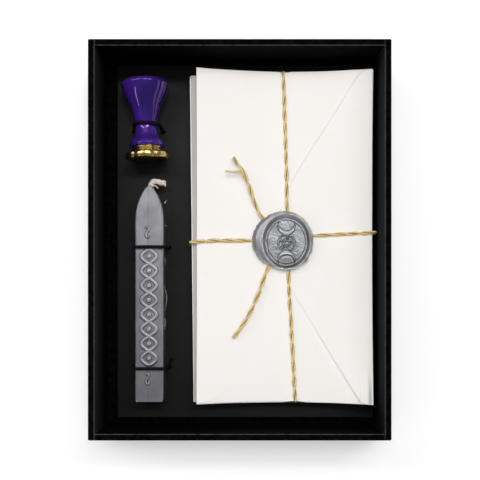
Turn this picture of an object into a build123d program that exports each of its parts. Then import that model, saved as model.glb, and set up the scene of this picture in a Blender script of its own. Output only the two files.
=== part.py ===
from build123d import *
from math import acos, asin, atan2, cos, degrees, hypot, radians, sin, tan
import os

# A wax seal set laid out in an open tray: a stamp, a stick of wax and a tied, sealed bundle of
# envelopes, on a folded card insert. Millimetres and degrees. The origin is the middle of the
# tray's underside, +X is to the right and +Y towards the head of the tray, looking down into it,
# and +Z is up.

os.makedirs("parts", exist_ok=True)

# ---- driving sizes ----

# envelopes
envelope_width = 74.6
envelope_length = 141.0
envelope_thickness = 0.6
envelope_gap = 0.1
envelope_end_bite = 1.5
lowest_corner_rise = 0.3
corner_rise_height = 0.8
flat_rise = 0.05
# where along its length an envelope's bend is set, as shares from its middle
envelope_stations = [-1, -0.5, 0, 0.5, 1]
# how each envelope lies, from the lowest up: shift in x, shift in y, turn
envelope_lay = [
    (-2.2, -0.5, 0.65),
    (-2.1, -0.4, 0.6),
    (-0.85, -1.0, 0.1),
    (0.2, 1.1, 0.3),
    (0.1, 0.0, -0.2),
]

# twine round the bundle
twine = 1.6
twine_gap = 0.05
twine_bend = 1.1
twine_start = 1.0
knot_shift = (2.1, -0.275)
knot_radius = 2.9
knot_height = 1.9
knot_round = 0.8
lengthwise_lean = 2.07
crosswise_lean = 2.9
bend_share = 0.45

# wax seal
seal_shift = (0.7, -2.475)
seal_radius = 12.5
seal_height = 3.7
seal_edge_round = 1.3
seal_recess_depth = 1.5
seal_recess_mouth = 10.1
seal_floor_radius = 8.9
seal_line_radius = 8.5
seal_line_width = 0.25
seal_gap = 0.02
relief_height = 0.45
# outline of the poured wax: angle, and distance from the middle of the imprint over the seal's radius
seal_outline = [
    (0, 0.92),
    (30, 0.936),
    (60, 0.984),
    (90, 1.05),
    (120, 1.09),
    (150, 1.14),
    (180, 1.15),
    (210, 1.06),
    (240, 0.96),
    (270, 0.952),
    (296, 1.03),
    (310, 1.02),
    (330, 0.92),
]

# moon and star figure
star_ring_radius = 3.5
star_line_width = 0.4
crescent_radius = 3.9
crescent_bite_radius = 3.6
crescent_offset = 7.2
crescent_shift = 1.3
star_turn = 12.0

# stamp: its places along the handle are shares of the handle's length, from the top
handle_length = 29.8
belly_radius = 9.9
belly_share = 0.13
dome_radius = 30.4
dome_edge = 8.3
shoulder_radius = 8.8
shoulder_share = 0.28
neck_radius = 7.0
neck_share = 0.406
stem_radius = 5.45
stem_share = 0.54
waist_radius = 4.6
waist_share = 0.725
swell_radius = 5.2
swell_share = 0.85
flare_radius = 7.3
flare_share = 0.97
foot_edge = 0.4
bush_radius = 3.6
bush_length = 6.0
stud_radius = 2.45
running_gap = 0.04
thread_pitch = 0.8
die_turns = 6
seat_gap = 0.05
collar_length = 2.7
collar_rim_width = 0.9
collar_groove_width = 0.45
collar_radius = 6.3
collar_groove = 0.45
collar_waist = 6.1
collar_foot = 6.8
collar_foot_height = 0.45
flange_radius = 8.97
flange_cusp = 8.35
flange_lobes = 6
flange_thickness = 2.6
flange_turn = 4.0
stud_in_die = 2.8
die_engraving = 0.5
stamp_lean = 1.94
die_drop_gap = 0.35

# wax stick
wax_width = 11.8
wax_height = 11.7
wax_length = 90.0
wax_tip_length = 14.2
wax_tip_half = 1.6
wax_tip_back = 0.65
wax_corner = 0.8
wax_edge = 0.5
wick_radius = 1.1
wick_stop = 5.0
wick_bend = 1.5
# the free end of the wick, as steps from the tip of the stick
wick_end = [(0.7, 2.1), (3.2, 2.45), (6.0, 1.75)]

# ties
tie = 1.3
tie_hole = 1.8
tie_gap = 0.1
tie_spread = 0.9
tie_bend = 1.0
tie_drop = 0.75
tie_knot = 1.1
tie_knot_drop = 0.45
tie_knot_reach = 0.8
waist_slack = 0.1
tie_bend_share = 0.98
wax_tie_from_tip = 25.0
wax_tie_from_foot = 13.7
# the cut end of the lower tie, as steps from its hole
tie_end = [(-0.1, 0.0, 0.95), (0.25, 1.9, 0.85), (1.35, 4.2, 0.75)]
tie_end_bend = 1.5
tie_end_radius = 0.6

# card insert
card = 0.6
insert_height = 6.0
corner_slit = 0.8
fold_round = 0.5
rest_gap = 0.1
tool_margin = 13.0
tool_to_bundle = 21.3
wax_shift = 2.1
bundle_side_margin = 1.5
bundle_head_margin = 3.625
bundle_foot_margin = 7.0
stamp_head_margin = 7.1
stamp_to_wax = 11.2
wax_foot_margin = 8.2

# tray
tray_height = 35.0
board = 2.0
paper = 0.3
insert_play = 0.3
insert_side_gap = 5.1
insert_foot_gap = 2.9
wrap_margin = 14.0
wrap_corner = 0.6
wrap_rim_round = 0.25
base_sheet_inset = 2.5
stay_width = 15.0
stay_thickness = 0.12

# ---- sizes that follow ----

stamp_length = handle_length + seat_gap + collar_length + flange_thickness
insert_width = tool_margin + tool_to_bundle + envelope_width + bundle_side_margin
bundle_column = bundle_head_margin + envelope_length + bundle_foot_margin
tool_column = stamp_head_margin + stamp_length + stamp_to_wax + wax_length + wax_foot_margin
insert_length = max(bundle_column, tool_column)

inside_width = insert_width + insert_play + insert_side_gap
inside_length = insert_length + insert_play + insert_foot_gap
boards_width = inside_width + 2 * (board + paper)
boards_length = inside_length + 2 * (board + paper)
tray_width = boards_width + 2 * paper
tray_length = boards_length + 2 * paper

base_bottom = 2 * paper
base_top = base_bottom + board
floor_top = base_top + paper
board_top = tray_height - paper
card_top = floor_top + insert_height
card_bottom = card_top - card

insert_right = inside_width / 2 - insert_play
insert_left = insert_right - insert_width
insert_head = inside_length / 2 - insert_play
insert_foot = insert_head - insert_length

# ---- tray: greyboard walls on a base, covered in one sheet of paper ----

base_pad_width = tray_width - 2 * wrap_margin
base_pad_length = tray_length - 2 * wrap_margin

with BuildPart() as base_sheet:
    with BuildSketch(Plane.XY):
        Rectangle(tray_width - 2 * base_sheet_inset, tray_length - 2 * base_sheet_inset)
    extrude(amount=paper)
    with BuildSketch(Plane.XY.offset(paper)):
        Rectangle(base_pad_width, base_pad_length)
    extrude(amount=paper)
base_sheet.part.label = "base_sheet"
export_step(base_sheet.part, "parts/base_sheet.step")

with BuildPart() as base_board:
    with BuildSketch(Plane.XY.offset(base_bottom)):
        Rectangle(boards_width, boards_length)
    extrude(amount=board)
base_board.part.label = "base_board"
export_step(base_board.part, "parts/base_board.step")

wall_height = board_top - base_top
side_wall_x = (boards_width - board) / 2
end_wall_y = (boards_length - board) / 2

with BuildPart() as wall_board_left:
    with BuildSketch(Plane.XY.offset(base_top)):
        with Locations((-side_wall_x, 0)):
            Rectangle(board, boards_length)
    extrude(amount=wall_height)
wall_board_left.part.label = "wall_board_left"
export_step(wall_board_left.part, "parts/wall_board_left.step")

with BuildPart() as wall_board_right:
    with BuildSketch(Plane.XY.offset(base_top)):
        with Locations((side_wall_x, 0)):
            Rectangle(board, boards_length)
    extrude(amount=wall_height)
wall_board_right.part.label = "wall_board_right"
export_step(wall_board_right.part, "parts/wall_board_right.step")

with BuildPart() as wall_board_head:
    with BuildSketch(Plane.XY.offset(base_top)):
        with Locations((0, end_wall_y)):
            Rectangle(boards_width - 2 * board, board)
    extrude(amount=wall_height)
wall_board_head.part.label = "wall_board_head"
export_step(wall_board_head.part, "parts/wall_board_head.step")

with BuildPart() as wall_board_foot:
    with BuildSketch(Plane.XY.offset(base_top)):
        with Locations((0, -end_wall_y)):
            Rectangle(boards_width - 2 * board, board)
    extrude(amount=wall_height)
wall_board_foot.part.label = "wall_board_foot"
export_step(wall_board_foot.part, "parts/wall_board_foot.step")

# a strip of gummed paper folded round each outer corner holds the walls together
with BuildPart() as corner_stays:
    with BuildSketch(Plane.XY.offset(base_bottom)):
        Rectangle(boards_width + 2 * stay_thickness, boards_length + 2 * stay_thickness)
        Rectangle(boards_width, boards_length, mode=Mode.SUBTRACT)
        Rectangle(boards_width - 2 * stay_width, tray_length, mode=Mode.SUBTRACT)
        Rectangle(tray_width, boards_length - 2 * stay_width, mode=Mode.SUBTRACT)
    extrude(amount=board_top - base_bottom)
corner_stays.part.label = "corner_stays"
export_step(corner_stays.part, "parts/corner_stays.step")

# the wrap covers the outside, turns over the rim down to the floor inside, and turns in under the base
with BuildPart() as wrap_paper:
    with BuildSketch(Plane.XY.offset(paper)):
        RectangleRounded(tray_width, tray_length, wrap_corner)
    extrude(amount=tray_height - paper)
    with BuildSketch(Plane.XY.offset(base_bottom)):
        Rectangle(boards_width, boards_length)
    extrude(amount=board_top - base_bottom, mode=Mode.SUBTRACT)
    with BuildSketch(Plane.XY.offset(base_top)):
        Rectangle(inside_width, inside_length)
    extrude(amount=tray_height - base_top, mode=Mode.SUBTRACT)
    fillet(wrap_paper.faces().sort_by(Axis.Z)[-1].edges(), wrap_rim_round)
    with BuildSketch(Plane.XY.offset(base_top)):
        Rectangle(inside_width + 2 * paper, inside_length + 2 * paper)
        Rectangle(inside_width, inside_length, mode=Mode.SUBTRACT)
    extrude(amount=wall_height)
    with BuildSketch(Plane.XY.offset(paper)):
        Rectangle(base_pad_width, base_pad_length)
    extrude(amount=paper, mode=Mode.SUBTRACT)
    add(corner_stays.part, mode=Mode.SUBTRACT)
wrap_paper.part.label = "wrap_paper"
export_step(wrap_paper.part, "parts/wrap_paper.step")

with BuildPart() as floor_liner:
    with BuildSketch(Plane.XY.offset(base_top)):
        Rectangle(inside_width, inside_length)
    extrude(amount=paper)
floor_liner.part.label = "floor_liner"
export_step(floor_liner.part, "parts/floor_liner.step")

# ---- stamp: a turned handle with a threaded bush, a stud and a brass die, lying on its side ----

belly_at = handle_length * belly_share
shoulder_at = handle_length * shoulder_share
neck_at = handle_length * neck_share
stem_at = handle_length * stem_share
waist_at = handle_length * waist_share
swell_at = handle_length * swell_share
flare_at = handle_length * flare_share

belly_z = card_top + rest_gap + belly_radius
flange_z = card_top + die_drop_gap + flange_radius
stamp_tilt = degrees(asin((belly_z - flange_z) / (stamp_length - belly_at)))
stamp_top_x = insert_left + tool_margin
stamp_top_y = insert_head - stamp_head_margin
stamp_top_z = belly_z + belly_at * sin(radians(stamp_tilt))
stamp_along = Vector(
    sin(radians(stamp_lean)) * cos(radians(stamp_tilt)),
    -cos(radians(stamp_lean)) * cos(radians(stamp_tilt)),
    -sin(radians(stamp_tilt)),
)
stamp_side = Vector(cos(radians(stamp_lean)), sin(radians(stamp_lean)), 0)
stamp_top = Vector(stamp_top_x, stamp_top_y, stamp_top_z)
stamp_axis = Axis(stamp_top, stamp_along)
# in this plane x is the distance from the stamp's axis and y the distance from its top
stamp_section = Plane(origin=stamp_top, x_dir=stamp_side, z_dir=stamp_side.cross(stamp_along))


def across_stamp(distance):
    """The plane square to the stamp's axis at a distance from its top, facing the die's end."""
    return Plane(origin=stamp_top + stamp_along * distance, x_dir=stamp_side, z_dir=stamp_along)


dome_rise = dome_radius - (dome_radius**2 - dome_edge**2) ** 0.5
dome_slope = asin(dome_edge / dome_radius)
bush_from = handle_length - bush_length

with BuildPart() as stamp_handle:
    with BuildSketch(stamp_section):
        with BuildLine():
            RadiusArc((0, 0), (dome_edge, dome_rise), dome_radius)
            Spline(
                (dome_edge, dome_rise),
                (belly_radius, belly_at),
                (shoulder_radius, shoulder_at),
                (neck_radius, neck_at),
                (stem_radius, stem_at),
                (waist_radius, waist_at),
                tangents=[(cos(dome_slope), sin(dome_slope)), (0, 1)],
                tangent_scalars=[1, 1],
            )
            Spline(
                (waist_radius, waist_at),
                (swell_radius, swell_at),
                (flare_radius, flare_at),
                tangents=[(0, 1), (0, 1)],
                tangent_scalars=[1, 1],
            )
            Line((flare_radius, flare_at), (flare_radius - foot_edge, handle_length))
            Line((flare_radius - foot_edge, handle_length), (bush_radius, handle_length))
            Line((bush_radius, handle_length), (bush_radius, bush_from))
            Line((bush_radius, bush_from), (0, bush_from))
            Line((0, bush_from), (0, 0))
        make_face()
    revolve(axis=stamp_axis)
stamp_handle.part.label = "stamp_handle"
export_step(stamp_handle.part, "parts/stamp_handle.step")

with BuildPart() as handle_insert:
    with BuildSketch(across_stamp(bush_from)):
        Circle(bush_radius)
        Circle(stud_radius + running_gap, mode=Mode.SUBTRACT)
    extrude(amount=bush_length)
handle_insert.part.label = "handle_insert"
export_step(handle_insert.part, "parts/handle_insert.step")

die_travel = thread_pitch * die_turns
die_from = handle_length + seat_gap
flange_from = die_from + collar_length

with BuildPart() as die_stud:
    with BuildSketch(across_stamp(handle_length - die_travel)):
        Circle(stud_radius)
    extrude(amount=die_travel + seat_gap + stud_in_die)
die_stud.part.label = "die_stud"
export_step(die_stud.part, "parts/die_stud.step")

# the figure pressed into the seal: a star in a ring between two crescents
with BuildSketch() as moon_and_star:
    Circle(star_ring_radius)
    Circle(star_ring_radius - star_line_width, mode=Mode.SUBTRACT)
    with PolarLocations((star_ring_radius - star_line_width) * cos(radians(72)), 5, start_angle=star_turn):
        Rectangle(star_line_width, 2 * (star_ring_radius - star_line_width) * sin(radians(72)))
    for way in (-1, 1):
        with Locations((0, way * crescent_offset)):
            Circle(crescent_radius)
        with Locations((0, way * (crescent_offset + crescent_shift))):
            Circle(crescent_bite_radius, mode=Mode.SUBTRACT)

# between the cusps of its rim the flange swells out in lobes
lobe_angle = 360 / flange_lobes
groove_from = die_from + collar_rim_width
groove_to = groove_from + collar_groove_width
die_face = flange_from + flange_thickness

with BuildPart() as seal_die:
    with BuildSketch(stamp_section):
        with BuildLine():
            Polyline(
                (0, die_from),
                (collar_radius, die_from),
                (collar_radius, groove_from),
                (collar_radius - collar_groove, groove_from),
                (collar_radius - collar_groove, groove_to),
                (collar_waist, groove_to),
                (collar_waist, flange_from - collar_foot_height),
                (collar_foot, flange_from),
                (0, flange_from),
                close=True,
            )
        make_face()
    revolve(axis=stamp_axis)
    with BuildSketch(across_stamp(flange_from)):
        with BuildLine():
            for lobe in range(flange_lobes):
                start = flange_turn + lobe * lobe_angle
                ThreePointArc(
                    (flange_cusp * cos(radians(start)), flange_cusp * sin(radians(start))),
                    (
                        flange_radius * cos(radians(start + lobe_angle / 2)),
                        flange_radius * sin(radians(start + lobe_angle / 2)),
                    ),
                    (
                        flange_cusp * cos(radians(start + lobe_angle)),
                        flange_cusp * sin(radians(start + lobe_angle)),
                    ),
                )
        make_face()
    extrude(amount=flange_thickness)
    with BuildSketch(across_stamp(die_from)):
        Circle(stud_radius + running_gap)
    extrude(amount=stud_in_die + running_gap, mode=Mode.SUBTRACT)
    with BuildSketch(across_stamp(die_face)):
        add(mirror(moon_and_star.sketch, about=Plane.YZ))
    extrude(amount=-die_engraving, mode=Mode.SUBTRACT)
seal_die.part.label = "seal_die"
export_step(seal_die.part, "parts/seal_die.step")

# ---- wax stick with its wick ----

wax_x = insert_left + tool_margin + wax_shift
wax_tip_y = insert_head - stamp_head_margin - stamp_length - stamp_to_wax
wax_bottom = card_top + rest_gap
wax_top = wax_bottom + wax_height
wax_middle = wax_bottom + wax_height / 2

with BuildPart() as wick:
    with BuildLine(Plane.XY.offset(wax_middle)) as wick_route:
        FilletPolyline(
            (wax_x, wax_tip_y - wax_length + wick_stop),
            *[(wax_x + step[0], wax_tip_y + step[1]) for step in wick_end],
            radius=wick_bend,
        )
    with BuildSketch(Plane(origin=wick_route.line @ 0, z_dir=wick_route.line % 0)):
        Circle(wick_radius)
    sweep()
wick.part.label = "wick"
export_step(wick.part, "parts/wick.step")

with BuildPart() as wax_stick:
    with BuildSketch(Plane(origin=(wax_x, wax_tip_y, wax_bottom))):
        with BuildLine():
            Line((0, -wax_length), (wax_width / 2, -wax_length))
            Line((wax_width / 2, -wax_length), (wax_width / 2, -wax_tip_length))
            TangentArc(
                (wax_width / 2, -wax_tip_length), (wax_tip_half, -wax_tip_back), tangent=(0, 1)
            )
            ThreePointArc((wax_tip_half, -wax_tip_back), (0, 0), (-wax_tip_half, -wax_tip_back))
            TangentArc(
                (-wax_width / 2, -wax_tip_length), (-wax_tip_half, -wax_tip_back), tangent=(0, 1)
            )
            Line((-wax_width / 2, -wax_tip_length), (-wax_width / 2, -wax_length))
            Line((-wax_width / 2, -wax_length), (0, -wax_length))
        make_face()
    extrude(amount=wax_height)
    fillet(wax_stick.edges().filter_by(Axis.Z).sort_by(Axis.Y)[:2], wax_corner)
    fillet(wax_stick.faces().filter_by(Axis.Z).edges(), wax_edge)
    add(wick.part, mode=Mode.SUBTRACT)
wax_stick.part.label = "wax_stick"
export_step(wax_stick.part, "parts/wax_stick.step")

# ---- ties: elastic cord through pairs of holes in the card, knotted underneath ----

tie_under = card_bottom - tie_drop
stamp_tie_middle = stamp_top + stamp_along * waist_at
tie_round = waist_radius + waist_slack + tie_gap + tie / 2
stamp_hole_x = tie_round + tie_spread
wax_hole_x = wax_width / 2 + tie_gap + tie / 2 + tie_spread
wax_tie_ys = [wax_tip_y - wax_tie_from_tip, wax_tip_y - wax_length + wax_tie_from_foot]

# the tie leaves each hole in a straight line that touches the circle round the handle's waist
hole_distance = hypot(stamp_hole_x, stamp_tie_middle.Z - tie_under)
hole_angle = atan2(tie_under - stamp_tie_middle.Z, stamp_hole_x)
touch_angle = hole_angle + acos(tie_round / hole_distance)
touch_x = tie_round * cos(touch_angle)
touch_z = stamp_tie_middle.Z + tie_round * sin(touch_angle)
stamp_over = stamp_tie_middle.Z + tie_round
lean_in = (stamp_hole_x - touch_x) / (touch_z - tie_under)
stamp_corner_x = stamp_hole_x - lean_in * (stamp_over - tie_under)
wax_corner_x = wax_width / 2 + tie_gap + tie / 2
wax_over = wax_top + tie_gap + tie / 2


def tie_route(middle_x, y, hole_x, corner_x, over, corner_bend):
    """The line of a tie, from its knot under the card, over the tool and round to the knot again."""
    with BuildLine(Plane(origin=(middle_x, y, 0), x_dir=(1, 0, 0), z_dir=(0, -1, 0))) as route:
        FilletPolyline(
            (-tie_knot_reach, tie_under),
            (-hole_x, tie_under),
            (-corner_x, over),
            (corner_x, over),
            (hole_x, tie_under),
            (tie_knot_reach, tie_under),
            radius=[tie_bend, corner_bend, corner_bend, tie_bend],
        )
    return route.line


with BuildPart() as stamp_tie:
    waist_route = tie_route(
        stamp_tie_middle.X,
        stamp_tie_middle.Y,
        stamp_hole_x,
        stamp_corner_x,
        stamp_over,
        tie_round * tie_bend_share,
    )
    with BuildSketch(Plane(origin=waist_route @ 0, z_dir=waist_route % 0)):
        Circle(tie / 2)
    sweep(path=waist_route)
    with Locations((stamp_tie_middle.X, stamp_tie_middle.Y, tie_under - tie_knot_drop)):
        Sphere(tie_knot, rotation=(0, 90, 0))
stamp_tie.part.label = "stamp_tie"
export_step(stamp_tie.part, "parts/stamp_tie.step")

with BuildPart() as wax_tie_upper:
    upper_route = tie_route(wax_x, wax_tie_ys[0], wax_hole_x, wax_corner_x, wax_over, tie_bend)
    with BuildSketch(Plane(origin=upper_route @ 0, z_dir=upper_route % 0)):
        Circle(tie / 2)
    sweep(path=upper_route)
    with Locations((wax_x, wax_tie_ys[0], tie_under - tie_knot_drop)):
        Sphere(tie_knot, rotation=(0, 90, 0))
wax_tie_upper.part.label = "wax_tie_upper"
export_step(wax_tie_upper.part, "parts/wax_tie_upper.step")

with BuildPart() as wax_tie_lower:
    lower_route = tie_route(wax_x, wax_tie_ys[1], wax_hole_x, wax_corner_x, wax_over, tie_bend)
    with BuildSketch(Plane(origin=lower_route @ 0, z_dir=lower_route % 0)):
        Circle(tie / 2)
    sweep(path=lower_route)
    with Locations((wax_x, wax_tie_ys[1], tie_under - tie_knot_drop)):
        Sphere(tie_knot, rotation=(0, 90, 0))
    with BuildLine() as end_route:
        FilletPolyline(
            *[(wax_x + wax_hole_x + x, wax_tie_ys[1] + y, card_top + z) for x, y, z in tie_end],
            radius=tie_end_bend,
        )
    with BuildSketch(Plane(origin=end_route.line @ 0, z_dir=end_route.line % 0)):
        Circle(tie_end_radius)
    sweep(path=end_route.line)
wax_tie_lower.part.label = "wax_tie_lower"
export_step(wax_tie_lower.part, "parts/wax_tie_lower.step")

# ---- card insert: a sheet folded down at its four edges ----

insert_x = (insert_left + insert_right) / 2
insert_y = (insert_head + insert_foot) / 2

with BuildPart() as insert_card:
    with BuildSketch(Plane(origin=(insert_x, insert_y, floor_top))):
        Rectangle(insert_width, insert_length)
    extrude(amount=insert_height)
    fillet(insert_card.faces().sort_by(Axis.Z)[-1].edges(), fold_round)
    with BuildSketch(Plane(origin=(insert_x, insert_y, floor_top))):
        Rectangle(insert_width - 2 * card, insert_length - 2 * card)
    extrude(amount=insert_height - card, mode=Mode.SUBTRACT)
    with BuildSketch(Plane(origin=(insert_x, insert_y, floor_top))):
        with GridLocations(insert_width, insert_length, 2, 2):
            Rectangle(2 * corner_slit, 2 * corner_slit)
    extrude(amount=insert_height - card, mode=Mode.SUBTRACT)
    with BuildSketch(Plane.XY.offset(card_bottom)):
        for way in (-1, 1):
            with Locations((stamp_tie_middle.X + way * stamp_hole_x, stamp_tie_middle.Y)):
                Circle(tie_hole / 2)
            for tie_y in wax_tie_ys:
                with Locations((wax_x + way * wax_hole_x, tie_y)):
                    Circle(tie_hole / 2)
    extrude(amount=card, mode=Mode.SUBTRACT)
insert_card.part.label = "insert_card"
export_step(insert_card.part, "parts/insert_card.step")

# ---- bundle: envelopes tied lengthwise and crosswise, with a wax seal over the knot ----

bundle_x = insert_right - bundle_side_margin - envelope_width / 2
bundle_y = insert_head - bundle_head_margin - envelope_length / 2
cross_low = card_top + rest_gap + twine / 2
length_low = cross_low + twine + twine_gap
stack_bottom = length_low + twine / 2 + twine_gap
envelope_pitch = envelope_thickness + envelope_gap
stack_top = stack_bottom + envelope_pitch * len(envelope_lay) - envelope_gap + flat_rise
twine_high = stack_top + twine_gap + twine / 2
bite_radius = ((envelope_width / 2) ** 2 + envelope_end_bite**2) / (2 * envelope_end_bite)

for number, (shift_x, shift_y, turn) in enumerate(envelope_lay, start=1):
    across = Vector(cos(radians(turn)), sin(radians(turn)), 0)
    lengthwise = Vector(-sin(radians(turn)), cos(radians(turn)), 0)
    middle = Vector(bundle_x + shift_x, bundle_y + shift_y, 0)
    underside = stack_bottom + (number - 1) * envelope_pitch
    corner_rise = lowest_corner_rise + (number - 1) * corner_rise_height
    with BuildPart() as envelope:
        for station in envelope_stations:
            rise = flat_rise + corner_rise * station**2
            station_middle = middle + lengthwise * (station * envelope_length / 2)
            with BuildSketch(Plane(origin=station_middle, x_dir=across, z_dir=-lengthwise)):
                with BuildLine():
                    for low, half in ((0, envelope_width / 2), (envelope_thickness, -envelope_width / 2)):
                        ThreePointArc(
                            (-half, underside + low + rise),
                            (0, underside + low),
                            (half, underside + low + rise),
                        )
                        Line(
                            (half, underside + low + rise),
                            (half, underside + envelope_thickness - low + rise),
                        )
                make_face()
        loft()
        with BuildSketch(Plane(origin=middle, x_dir=across, z_dir=(0, 0, 1))):
            for way in (-1, 1):
                with Locations((0, way * (envelope_length / 2 - envelope_end_bite + bite_radius))):
                    Circle(bite_radius)
        extrude(amount=tray_height, mode=Mode.SUBTRACT)
    envelope.part.label = f"envelope_{number}"
    export_step(envelope.part, f"parts/envelope_{number}.step")

# the twine clears the furthest envelope at each end and side of the stack
shifts_x = [lay[0] for lay in envelope_lay]
shifts_y = [lay[1] for lay in envelope_lay]
knot_x = bundle_x + knot_shift[0]
knot_y = bundle_y + knot_shift[1]
end_reach = envelope_length / 2 - envelope_end_bite + twine_gap + twine / 2
side_reach = envelope_width / 2 + twine_gap + twine / 2
head_reach = end_reach + max(shifts_y) - knot_shift[1]
foot_reach = end_reach - min(shifts_y) + knot_shift[1]
right_reach = side_reach + max(shifts_x) - knot_shift[0]
left_reach = side_reach - min(shifts_x) + knot_shift[0]
head_way = Vector(-sin(radians(lengthwise_lean)), cos(radians(lengthwise_lean)), 0)
right_way = Vector(cos(radians(crosswise_lean)), sin(radians(crosswise_lean)), 0)
knot_foot = Vector(knot_x, knot_y, 0)


def loop_points(reach, back_reach, low):
    """The corners of a loop of twine round the stack, from the knot round to the knot again."""
    return [
        (twine_start, twine_high),
        (reach, twine_high),
        (reach, low),
        (-back_reach, low),
        (-back_reach, twine_high),
        (-twine_start, twine_high),
    ]


with BuildPart() as twine_length:
    length_plane = Plane(origin=knot_foot, x_dir=head_way, z_dir=head_way.cross(Vector(0, 0, 1)))
    with BuildLine(length_plane) as length_route:
        FilletPolyline(*loop_points(head_reach, foot_reach, length_low), radius=twine_bend)
    with BuildSketch(Plane(origin=length_route.line @ 0, z_dir=length_route.line % 0)):
        Circle(twine / 2)
    sweep()
twine_length.part.label = "twine_length"
export_step(twine_length.part, "parts/twine_length.step")

with BuildPart() as twine_cross:
    cross_plane = Plane(origin=knot_foot, x_dir=right_way, z_dir=right_way.cross(Vector(0, 0, 1)))
    with BuildLine(cross_plane) as cross_route:
        FilletPolyline(*loop_points(right_reach, left_reach, cross_low), radius=twine_bend)
    with BuildSketch(Plane(origin=cross_route.line @ 0, z_dir=cross_route.line % 0)):
        Circle(twine / 2)
    sweep()
twine_cross.part.label = "twine_cross"
export_step(twine_cross.part, "parts/twine_cross.step")

# the two loose ends, as steps from the knot along x and y and up from the twine
upper_tail_points = [
    (-2.15, 1.45, 0.0),
    (-6.6, 4.9, 0.05),
    (-11.9, 8.05, 0.3),
    (-14.4, 13.45, 1.1),
    (-16.4, 19.5, 2.0),
    (-18.0, 23.9, 2.7),
    (-19.6, 27.5, 3.1),
    (-21.8, 30.0, 3.3),
    (-23.5, 32.8, 3.3),
]
lower_tail_points = [
    (-1.53, -2.1, 0.0),
    (-5.2, -6.6, 0.05),
    (-8.4, -11.5, 0.3),
    (-10.6, -17.0, 0.8),
    (-12.5, -23.0, 1.4),
    (-14.5, -27.6, 1.8),
    (-16.7, -32.2, 2.0),
    (-19.9, -37.6, 1.9),
    (-23.5, -42.5, 1.4),
]


def tail_radii(points):
    """The radius of each bend: as large as the shorter of its two runs allows."""
    radii = []
    for before, corner, after in zip(points, points[1:], points[2:]):
        run_in = Vector(*corner) - Vector(*before)
        run_out = Vector(*after) - Vector(*corner)
        half_turn = radians(run_in.get_angle(run_out)) / 2
        radii.append(bend_share * min(run_in.length, run_out.length) / tan(half_turn))
    return radii


def tail_route(steps):
    """The line of a loose end, as straight runs joined by tangent arcs."""
    points = [(knot_x + x, knot_y + y, twine_high + z) for x, y, z in steps]
    radii = tail_radii(points)
    print("loose end radii", [round(radius, 1) for radius in radii])
    with BuildLine() as route:
        FilletPolyline(*points, radius=radii)
    return route.line


with BuildPart() as twine_tail_upper:
    upper_line = tail_route(upper_tail_points)
    with BuildSketch(Plane(origin=upper_line @ 0, z_dir=upper_line % 0)):
        Circle(twine / 2)
    sweep(path=upper_line)
twine_tail_upper.part.label = "twine_tail_upper"
export_step(twine_tail_upper.part, "parts/twine_tail_upper.step")

with BuildPart() as twine_tail_lower:
    lower_line = tail_route(lower_tail_points)
    with BuildSketch(Plane(origin=lower_line @ 0, z_dir=lower_line % 0)):
        Circle(twine / 2)
    sweep(path=lower_line)
twine_tail_lower.part.label = "twine_tail_lower"
export_step(twine_tail_lower.part, "parts/twine_tail_lower.step")

twines = [twine_length, twine_cross, twine_tail_upper, twine_tail_lower]

with BuildPart() as twine_knot:
    with BuildSketch(Plane(origin=(knot_x, knot_y, stack_top + twine_gap))):
        Circle(knot_radius)
    extrude(amount=knot_height)
    fillet(twine_knot.edges(), knot_round)
twine_knot.part.label = "twine_knot"
export_step(twine_knot.part, "parts/twine_knot.step")

seal_middle = Vector(bundle_x + seal_shift[0], bundle_y + seal_shift[1], stack_top + seal_gap)
seal_floor = seal_height - seal_recess_depth
recess_slope = degrees(atan2(seal_recess_mouth - seal_floor_radius, seal_recess_depth))

with BuildPart() as wax_seal:
    with BuildSketch(Plane(origin=seal_middle)):
        with BuildLine():
            Spline(
                *[
                    (seal_radius * r * cos(radians(a)), seal_radius * r * sin(radians(a)))
                    for a, r in seal_outline
                ],
                periodic=True,
            )
        make_face()
    extrude(amount=seal_height)
    fillet(wax_seal.faces().sort_by(Axis.Z)[-1].edges(), seal_edge_round)
    with BuildSketch(Plane(origin=seal_middle + Vector(0, 0, seal_height))):
        Circle(seal_recess_mouth)
    extrude(amount=-seal_recess_depth, taper=recess_slope, mode=Mode.SUBTRACT)
    with BuildSketch(Plane(origin=seal_middle + Vector(0, 0, seal_floor))):
        Circle(seal_line_radius)
        Circle(seal_line_radius - seal_line_width, mode=Mode.SUBTRACT)
        add(moon_and_star.sketch)
    extrude(amount=relief_height)
    for strand in twines:
        add(strand.part, mode=Mode.SUBTRACT)
    add(twine_knot.part, mode=Mode.SUBTRACT)
wax_seal.part.label = "wax_seal"
export_step(wax_seal.part, "parts/wax_seal.step")
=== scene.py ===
"""Dresses the packed model of a letter sealing set: a tray with a stamp, a stick of wax and a tied bundle."""
import math

import bmesh
import bpy
import numpy as np
from bpy.props import FloatProperty, FloatVectorProperty, PointerProperty
from mathutils import Matrix, Vector, noise


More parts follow.
